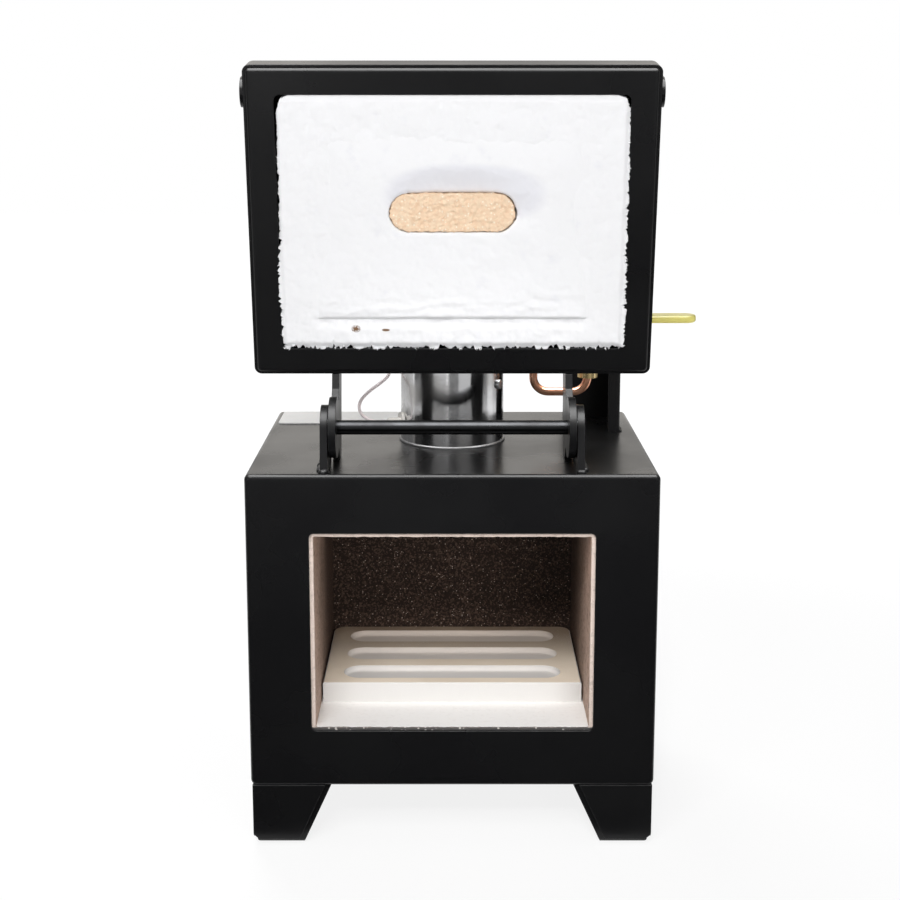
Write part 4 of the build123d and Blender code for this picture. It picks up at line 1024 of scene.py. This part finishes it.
bmesh.ops.recalc_face_normals(tuft_mesh, faces=tuft_mesh.faces[:])
tufts = object_from("blanket_tufts", tuft_mesh)

for piece in (blanket, pad, tufts):
    dress(piece, door_fibre, "door")
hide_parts("door_blanket")
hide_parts("door_pad")
print("tufts", tuft_count, "with", len(tufts.data.polygons), "faces")

# %% [markdown]
# The vent plug and the seal round the mouth are rough, grainy matter. The plain solid already
# has the right size, so a copy of it is remeshed into small even cells, and every point is
# pushed along its normal by noise, less on the thin seal than on the plug. A small inset
# draws the skin back to make room for the bumps.

# %% Roughened copies


def remesh_evenly(piece, cell, rounds=0):
    """One closed skin of even cells, smoothed some rounds, in place of the piece's mesh."""
    merge = piece.modifiers.new("merge", "REMESH")
    merge.mode = "VOXEL"
    merge.voxel_size = cell * MM
    if rounds:
        soften = piece.modifiers.new("soften", "SMOOTH")
        soften.iterations = rounds
    even = evaluated_mesh(piece)
    piece.modifiers.clear()
    piece.data = even
    even.name = piece.name


def roughened_copy(node_name, name, cell, layers, inset):
    """Copy of a CAD piece with a grainy surface."""
    piece = add_object(name, frame["nodes"][node_name].data.copy())
    remesh_evenly(piece, cell)
    pushes = []
    for vertex in piece.data.vertices:
        height = -inset
        for size, depth in layers:
            height += depth * noise.noise(vertex.co / (size * MM))
        pushes.append(vertex.normal.copy() * height * MM)
    for vertex, push in zip(piece.data.vertices, pushes):
        vertex.co += push
    shade_smooth(piece)
    piece.data.materials.clear()
    furthest = max(push.length for push in pushes) / MM
    print(name, len(pushes), "points, pushed up to", round(furthest, 2), "mm")
    return piece


plug = roughened_copy("vent_plug", "plug_granular", 0.7, [(5.0, 0.5), (2.2, 0.8), (1.2, 0.5)], 0.15)
dress(plug, plug_board, "vent_plug")
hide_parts("vent_plug")
mouth_liner = roughened_copy("mouth_seal", "mouth_liner", 0.8, [(6.0, 0.25), (1.8, 0.25)], 0.05)
dress(mouth_liner, seal_fibre, "furnace")
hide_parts("mouth_seal")

# %% [markdown]
# The two hinge lugs and the valve's post are welded to the top. A bead is a row of
# overlapping drops, each a little off the line and of its own size, under the same paint as
# the brackets. One function lays a bead along each line and melts its drops together: along
# the side and toe of each lug, and along the back and the side leaf of the post.

# %% Weld beads
lug_side, lug_front, lug_back = 89.9, 9.0, 41.0
toe_front, toe_inner, toe_outer = 4.4, 85.0, 89.0
post_back, post_left, post_right = 193.2, 90.0, 125.0
leaf_side, leaf_front, leaf_back = 127.6, 136.0, 190.0


def top_line(start, end, lift):
    """Line a little above the casing's top, between two places on it."""
    return spot(*start, body_top + lift), spot(*end, body_top + lift)


def weld_bead(name, lines, radius):
    """Beads of overlapping drops along straight lines."""
    mesh = bmesh.new()
    for start, end in lines:
        length = (end - start).length / MM
        drops = max(3, round(length / (radius * 0.75)))
        for drop in range(drops):
            along = (drop + 0.5) / drops
            size = radius * random.uniform(0.8, 1.1) * MM
            wobble = Vector([random.uniform(-0.15, 0.15) * radius * MM for axis in range(3)])
            place = Matrix.Translation(start.lerp(end, along) + wobble) @ Matrix.Scale(size, 4)
            bmesh.ops.create_icosphere(mesh, subdivisions=2, radius=1.0, matrix=place)
    piece = object_from(name, mesh)
    remesh_evenly(piece, radius * 0.22, 3)
    shade_smooth(piece)
    dress(piece, forged_paint, "furnace")
    print(name, len(piece.data.vertices), "points")


for side, side_name in ((-1, "left"), (1, "right")):
    lug_lines = [top_line((side * lug_side, lug_front), (side * lug_side, lug_back), 0.5),
                 top_line((side * toe_inner, toe_front), (side * toe_outer, toe_front), 0.5)]
    weld_bead(f"lug_weld_{side_name}", lug_lines, 2.6)
post_lines = [top_line((post_left, post_back), (post_right, post_back), 0.4),
              top_line((leaf_side, leaf_front), (leaf_side, leaf_back), 0.4)]
weld_bead("valve_post_weld", post_lines, 1.5)

# %% [markdown]
# A thin white enamelled plate with rounded corners lies on the top's rear left corner. It is
# an outline on two levels with walls between, which is all that a sheet this thin needs.

# %% Plate on the top
plate_x = (-135.0, -42.0)
plate_y = (163.0, 207.0)
plate_corner = 3.0
plate_thickness = 0.8


def plate_outline(z):
    """Points of the plate's rounded outline at a height."""
    points = []
    (x0, x1), (y0, y1) = plate_x, plate_y
    corners = ((x1 - plate_corner, y1 - plate_corner, 0), (x0 + plate_corner, y1 - plate_corner, 90),
               (x0 + plate_corner, y0 + plate_corner, 180), (x1 - plate_corner, y0 + plate_corner, 270))
    for cx, cy, start in corners:
        for step in range(7):
            angle = math.radians(start + 15 * step)
            points.append(spot(cx + plate_corner * math.cos(angle), cy + plate_corner * math.sin(angle), z))
    return points


plate_mesh = bmesh.new()
top = [plate_mesh.verts.new(point) for point in plate_outline(body_top + plate_thickness)]
bottom = [plate_mesh.verts.new(point) for point in plate_outline(body_top)]
plate_mesh.faces.new(top)
plate_mesh.faces.new(bottom[::-1])
for index in range(len(top)):
    after = (index + 1) % len(top)
    plate_mesh.faces.new([top[index], bottom[index], bottom[after], top[after]])
bmesh.ops.recalc_face_normals(plate_mesh, faces=plate_mesh.faces[:])
blank_plate = object_from("blank_plate", plate_mesh)
dress(blank_plate, plate_white, "furnace")
print("plate", [round(value, 4) for value in blank_plate.dimensions])

# %% [markdown]
# The studio is a pale floor under a white surround. The world answers two questions: what the
# camera and mirrors see, which is white, a little warmer in mirrors, and how much soft light
# falls on the object, which is a good deal less. Light Path tells the kinds of rays apart.

# %% Surround


def direct_rays(tree):
    """Light Path node, and 1 for rays from the camera, from mirrors and through glass."""
    rays = tree.nodes.new("ShaderNodeLightPath")
    seen = add_math(tree, "MAXIMUM", rays.outputs["Is Camera Ray"], rays.outputs["Is Glossy Ray"])
    return rays, add_math(tree, "MAXIMUM", seen, rays.outputs["Is Transmission Ray"])


def mix_shaders(tree, share, first, second):
    """Mix of two shaders by a share."""
    node = tree.nodes.new("ShaderNodeMixShader")
    for slot_number, value in enumerate((share, first, second)):
        tree.links.new(value, node.inputs[slot_number])
    return node.outputs[0]


world = bpy.data.worlds.new("studio")
bpy.context.scene.world = world
world.use_nodes = True
tree = world.node_tree
tree.nodes.clear()
output = tree.nodes.new("ShaderNodeOutputWorld")
rays, seen = direct_rays(tree)
backdrop = tree.nodes.new("ShaderNodeBackground")
warm_mirror = mix_color(tree, rays.outputs["Is Glossy Ray"], (1.0, 1.0, 1.0), (1.0, 0.965, 0.915))
tree.links.new(warm_mirror, backdrop.inputs["Color"])
ambient = tree.nodes.new("ShaderNodeBackground")
ambient.inputs["Color"].default_value = (0.25, 0.25, 0.255, 1.0)
tree.links.new(mix_shaders(tree, seen, ambient.outputs[0], backdrop.outputs[0]), output.inputs["Surface"])

# %% [markdown]
# Two soft lamps in front, one high and one low, model the felt without hard shadows, and one
# behind lights the back and the rear of the top. The chamber is too deep for them, so a
# narrow lamp shines into the mouth from the upper front. Their power is low, so that a white
# surface stays just under white.

# %% Lamps
door_aim = (0, 0, 0.28)
mouth_aim = (0, 0, 0.13)
softboxes = [("softbox_high", (-0.35, -1.22, 1.32), (0.8, 0.6), 12.8),
             ("softbox_low", (0.5, -1.5, 0.45), (0.5, 0.5), 6),
             ("softbox_behind", (-0.5, 1.3, 0.95), (0.8, 0.6), 14)]


def aim_lamp(data, place, target, power):
    """Lamp aimed at a point, both in metres; it lights but isn't seen."""
    data.energy = power
    lamp = add_object(data.name, data)
    lamp.location = place
    aim = Vector(target) - Vector(place)
    lamp.rotation_euler = aim.to_track_quat("-Z", "Y").to_euler()
    lamp.visible_camera = False
    lamp.visible_glossy = False


for name, place, size, power in softboxes:
    softbox = bpy.data.lights.new(name, "AREA")
    softbox.shape = "RECTANGLE"
    softbox.size, softbox.size_y = size
    aim_lamp(softbox, place, door_aim, power)
mouth_lamp = bpy.data.lights.new("mouth_lamp", "SPOT")
mouth_lamp.spot_size = math.radians(15)
mouth_lamp.spot_blend = 0.7
mouth_lamp.shadow_soft_size = 0.08
aim_lamp(mouth_lamp, (-0.12, -1.20, 0.98), mouth_aim, 35)
print("lamps", [lamp.name for lamp in bpy.data.lights])

# %% [markdown]
# Gloss paint and polished steel are drawn by what they mirror, not by lamps. Cards stand
# round the furnace, as in a photographer's studio: dark ones keep the black faces black and
# cut the dark bands into the shroud, grey and white ones give its light bands, and a bright
# one overhead draws the light lines along bends and the hinge rod. Only mirror rays see them.

# %% Cards
card_distance = 1.5
card_height = 1.15


def card(name, corners, level):
    """Flat or bent card from rows of two points, glowing at a level, seen in mirrors only."""
    data = bpy.data.meshes.new(name)
    faces = [(2 * i, 2 * i + 1, 2 * i + 3, 2 * i + 2) for i in range(len(corners) // 2 - 1)]
    data.from_pydata(corners, [], faces)
    material, tree, shader = start_material(name, (0, 0, 0), 1.0, Specular_IOR_Level=0.0,
                                            Emission_Color=(level, level, level, 1.0),
                                            Emission_Strength=1.0)
    data.materials.append(material)
    piece = add_object(name, data)
    piece.visible_camera = False
    piece.visible_diffuse = False
    piece.visible_transmission = False
    piece.visible_shadow = False


bands = [(-158, -96, 0.55), (-92, -52, 0.09), (-52, -13, 0.80), (-13, -9, 1.5), (-9, 13, 0.26),
         (13, 50, 0.70), (50, 84, 0.08), (84, 101, 0.80), (101, 112, 0.40), (112, 158, 0.16)]
for number, (start_angle, end_angle, level) in enumerate(bands):
    corners = []
    for step in range(7):
        angle = math.radians(start_angle + (end_angle - start_angle) * step / 6)
        for height in (0.0, card_height):
            corners.append((card_distance * math.sin(angle), -card_distance * math.cos(angle), height))
    card(f"band_{number}", corners, level)
card("floor_flag", [(x, y, 0.0008) for x in (-1.2, 1.2) for y in (-1.45, -0.118)], 0.02)
card("overhead", [(x, y, 1.75) for x in (-1.0, 1.0) for y in (-1.6, 0.35)], 11.0)
print("cards", len(bands) + 2)

# %% [markdown]
# The floor is a sheet of pale board. Part of what the camera sees of it is a plain white glow
# and part is real shading, so it reads as white and still keeps the furnace's soft shadow.
# Further out the glow takes over, and the floor runs into the surround without a horizon.

# %% Floor
floor_reach = 6.0
glow_near, glow_far = 0.4, 1.1

floor_mesh = bpy.data.meshes.new("floor")
floor_corners = [(-floor_reach, -floor_reach, 0), (floor_reach, -floor_reach, 0),
                 (floor_reach, floor_reach, 0), (-floor_reach, floor_reach, 0)]
floor_mesh.from_pydata(floor_corners, [], [(0, 1, 2, 3)])
floor = add_object("floor", floor_mesh)
floor.location.z = -0.0002
floor_white, tree, shader = start_material("floor_white", (0.88, 0.88, 0.88), 0.9, Specular_IOR_Level=0.1)
glow = tree.nodes.new("ShaderNodeEmission")
glow.inputs["Strength"].default_value = 1.08
rays, seen = direct_rays(tree)
run = add_vectors(tree, "LENGTH", object_space(tree))
share = add_range(tree, run, glow_near, glow_far, 0.78, 1.0)
glowing = add_math(tree, "MULTIPLY", seen, share)
tree.links.new(mix_shaders(tree, glowing, shader.outputs[0], glow.outputs[0]),
               tree.nodes["Material Output"].inputs["Surface"])
floor_mesh.materials.append(floor_white)
bpy.context.scene.view_settings.view_transform = "Standard"
print("floor", floor_reach * 2, "m wide")

# %% Finish
bpy.context.view_layer.update()
